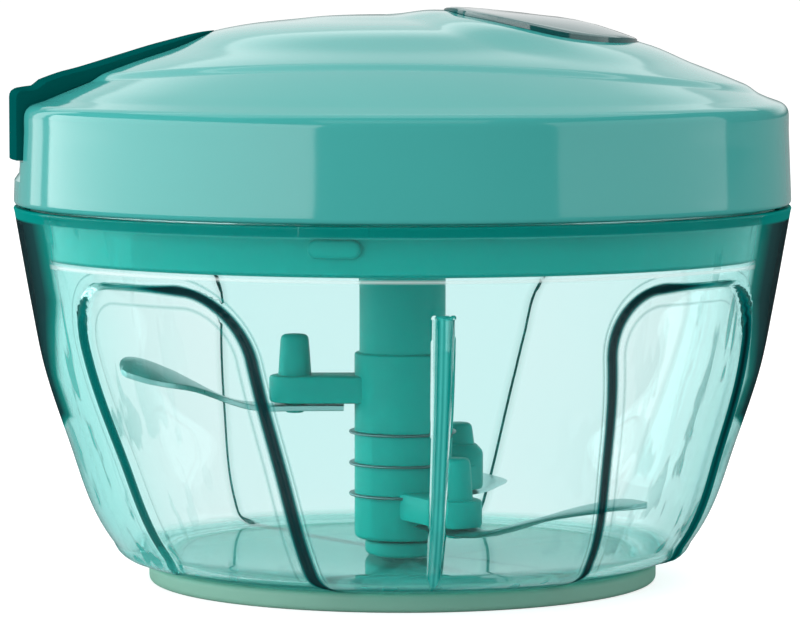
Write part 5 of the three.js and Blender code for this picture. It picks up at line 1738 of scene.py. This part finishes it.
    def build_cord(self) -> None:
        """The cord: its turns on the reel, the run through the eyelet and the stretch to the handle."""
        for name, layers, nodes in (("inner", 1, ()), ("outer", 3, ("wound_cord",))):
            layer = self.shop.empty(f"cord_layer_{name}")
            self.shop.make(layer, Form.TURNS, {
                "Turns": self.layer_turns, "Layer Radius": (self.drum_radius + layers * self.cord_radius) * MM,
                "Rise": self.layer_rise * MM, "Cord Radius": self.cord_radius * MM, "Bottom": self.drum_bottom * MM,
            }, self.finishes.cord)
            self.seat(layer, self.finishes.cord, "reel_body", "cord", *nodes)
        wind, height = self.winding_radius + self.cord_radius + self.gap, self.cord_height
        guide, inner = Vector((self.cord_inside, 0, height)), Vector((-58.3, 0, height))
        leave = Vector(polar(wind, 180 + math.degrees(math.acos(wind / -self.cord_inside)), height))
        bend = leave.lerp(guide, 0.75)
        route = [leave.lerp(guide, t) for t in np.linspace(0, 0.75, 12)]
        route += [bend * (1 - t) ** 2 + guide * 2 * t * (1 - t) + inner * t * t for t in np.linspace(0.1, 1, 10)]
        route += [Vector((x, 0, height)) for x in np.linspace(-58.5, self.cord_outside, 40)]
        cord = tube(route, self.cord_radius).piece("pull_cord", 60, merge=1e-4)
        dress(cord, self.finishes.cord)
        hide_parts("cord_run")
        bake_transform(cord)
        LOG.info("pull_cord bends between lid_body and handle_body")


@dataclass
class Works(Assembly):
    """The CAD solids that stay as they are: axle, reel, clutch and pins."""

    metals: tuple[str, ...] = ("spindle_pin", "axle", "spring_cover", "pawl_pin_1", "pawl_pin_2")
    springs: tuple[str, ...] = ("pawl_spring_1", "pawl_spring_2")
    plastics: tuple[str, ...] = ("drive_shaft", "ratchet_wheel", "reel", "pawl_1", "pawl_2")

    def build(self) -> None:
        """Gives each kept solid its finish."""
        for names, material in (
            (self.metals, self.finishes.blade), (self.springs, self.finishes.spring),
            (self.plastics, self.finishes.white),
        ):
            for name in names:
                dress(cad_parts[name], material)
                LOG.info("%s keeps its CAD shape", name)


# ---- Studio --------------------------------------------------------------------------------------


@dataclass(frozen=True)
class Softbox:
    """A rectangular lamp aimed at the object."""

    title: str
    turn: float
    distance: float
    height: float
    width: float
    tall: float
    radiance: float

    def place(self) -> None:
        """Hangs the lamp; its turn is counted from the camera's side, to the right."""
        lamp = bpy.data.lights.new(self.title, "AREA")
        lamp.shape = "RECTANGLE"
        lamp.size, lamp.size_y = self.width, self.tall
        lamp.energy = self.radiance * math.pi * self.width * self.tall
        angle = math.radians(self.turn)
        at = Vector((math.sin(angle) * self.distance, -math.cos(angle) * self.distance, self.height))
        obj = linked(self.title, lamp)
        obj.matrix_world = Matrix.Translation(at) @ (LAMP_AIM - at).to_track_quat("-Z", "Y").to_matrix().to_4x4()


@dataclass
class Studio:
    """Camera, lamps, world and floor."""

    finishes: Finishes
    distance: float = 0.720
    eye_height: float = 0.0998
    aim_height: float = 0.0427
    offset: float = -0.0004
    lens: float = 202.8
    floor_reach: float = 12.0
    world_fill: float = 0.55
    world_front: float = 0.14
    boxes: tuple[Softbox, ...] = (
        Softbox("softbox_left", -75, 0.8, 0.2, 1.98, 0.5, 3.0),
        Softbox("softbox_right", 76, 1.1, 0.25, 1.38, 0.9, 1.1),
        Softbox("softbox_top", 0, 0.9, 1.0, 1.0, 0.6, 0.7),
        Softbox("softbox_over", 180, 0.3, 1.25, 1.7, 1.0, 1.2),
        Softbox("softbox_back", 180, 1.2, 1.1, 2.0, 0.9, 0.85),
        Softbox("strip_left", -134, 1.0, 0.2, 0.16, 0.9, 1.4),
    )

    def camera(self) -> None:
        """The camera, at the photograph's distance, height and angle."""
        data = bpy.data.cameras.new("camera")
        data.lens = self.lens
        data.sensor_width = 36
        data.clip_end = 100
        obj = linked("camera", data)
        tilt = math.atan2(self.eye_height - self.aim_height, self.distance)
        obj.location = (self.offset, -self.distance, self.eye_height)
        obj.rotation_euler = (math.pi / 2 - tilt, 0, 0)
        bpy.context.scene.camera = obj

    def world(self) -> None:
        """White where it is seen and behind the object, dim in front, a soft even fill where it lights."""
        world = bpy.data.worlds.new("studio_white")
        world.use_nodes = True
        world.node_tree.nodes.clear()
        graph = Graph(world.node_tree)
        camera, glossy, through = graph.signals("ShaderNodeLightPath", RAYS)
        depth, up = graph.signals("ShaderNodeSeparateXYZ", "YZ", {0: graph.place("Generated")})
        card = depth.ramp(0.8, 8.0) * up.ramp(0.02, 12.0)
        behind = card * (1 - self.world_front) + self.world_front
        seen = camera.at_least(through * 0.98).at_least(glossy * behind)
        strength = seen.at_least(self.world_fill * (1 - glossy))
        back = graph.signal("ShaderNodeBackground", {"Color": WHITE, "Strength": strength})
        graph.node("ShaderNodeOutputWorld", {"Surface": back})
        bpy.context.scene.world = world

    def floor(self) -> None:
        """The pale floor that the object stands on."""
        reach = self.floor_reach / MM
        corners = [(-reach, -reach, 0), (reach, -reach, 0), (reach, reach, 0), (-reach, reach, 0)]
        obj = Shape(corners, [(0, 1, 2, 3)]).piece("floor")
        dress(obj, self.finishes.floor)

    def build(self) -> None:
        """Sets up everything around the object."""
        self.camera()
        self.world()
        self.floor()
        for box in self.boxes:
            box.place()
        bpy.context.scene.view_settings.view_transform = "Standard"


def main() -> None:
    """Builds the studio and the chopper, then notes the two boxes."""
    logging.basicConfig(level=logging.INFO, format="%(name)s: %(message)s")
    finishes = Finishes()
    shop = FormShop()
    Studio(finishes).build()
    for part in (Bowl, BladeUnit, Lid, Works):
        part(shop, finishes).build()


if __name__ == "__main__":
    main()
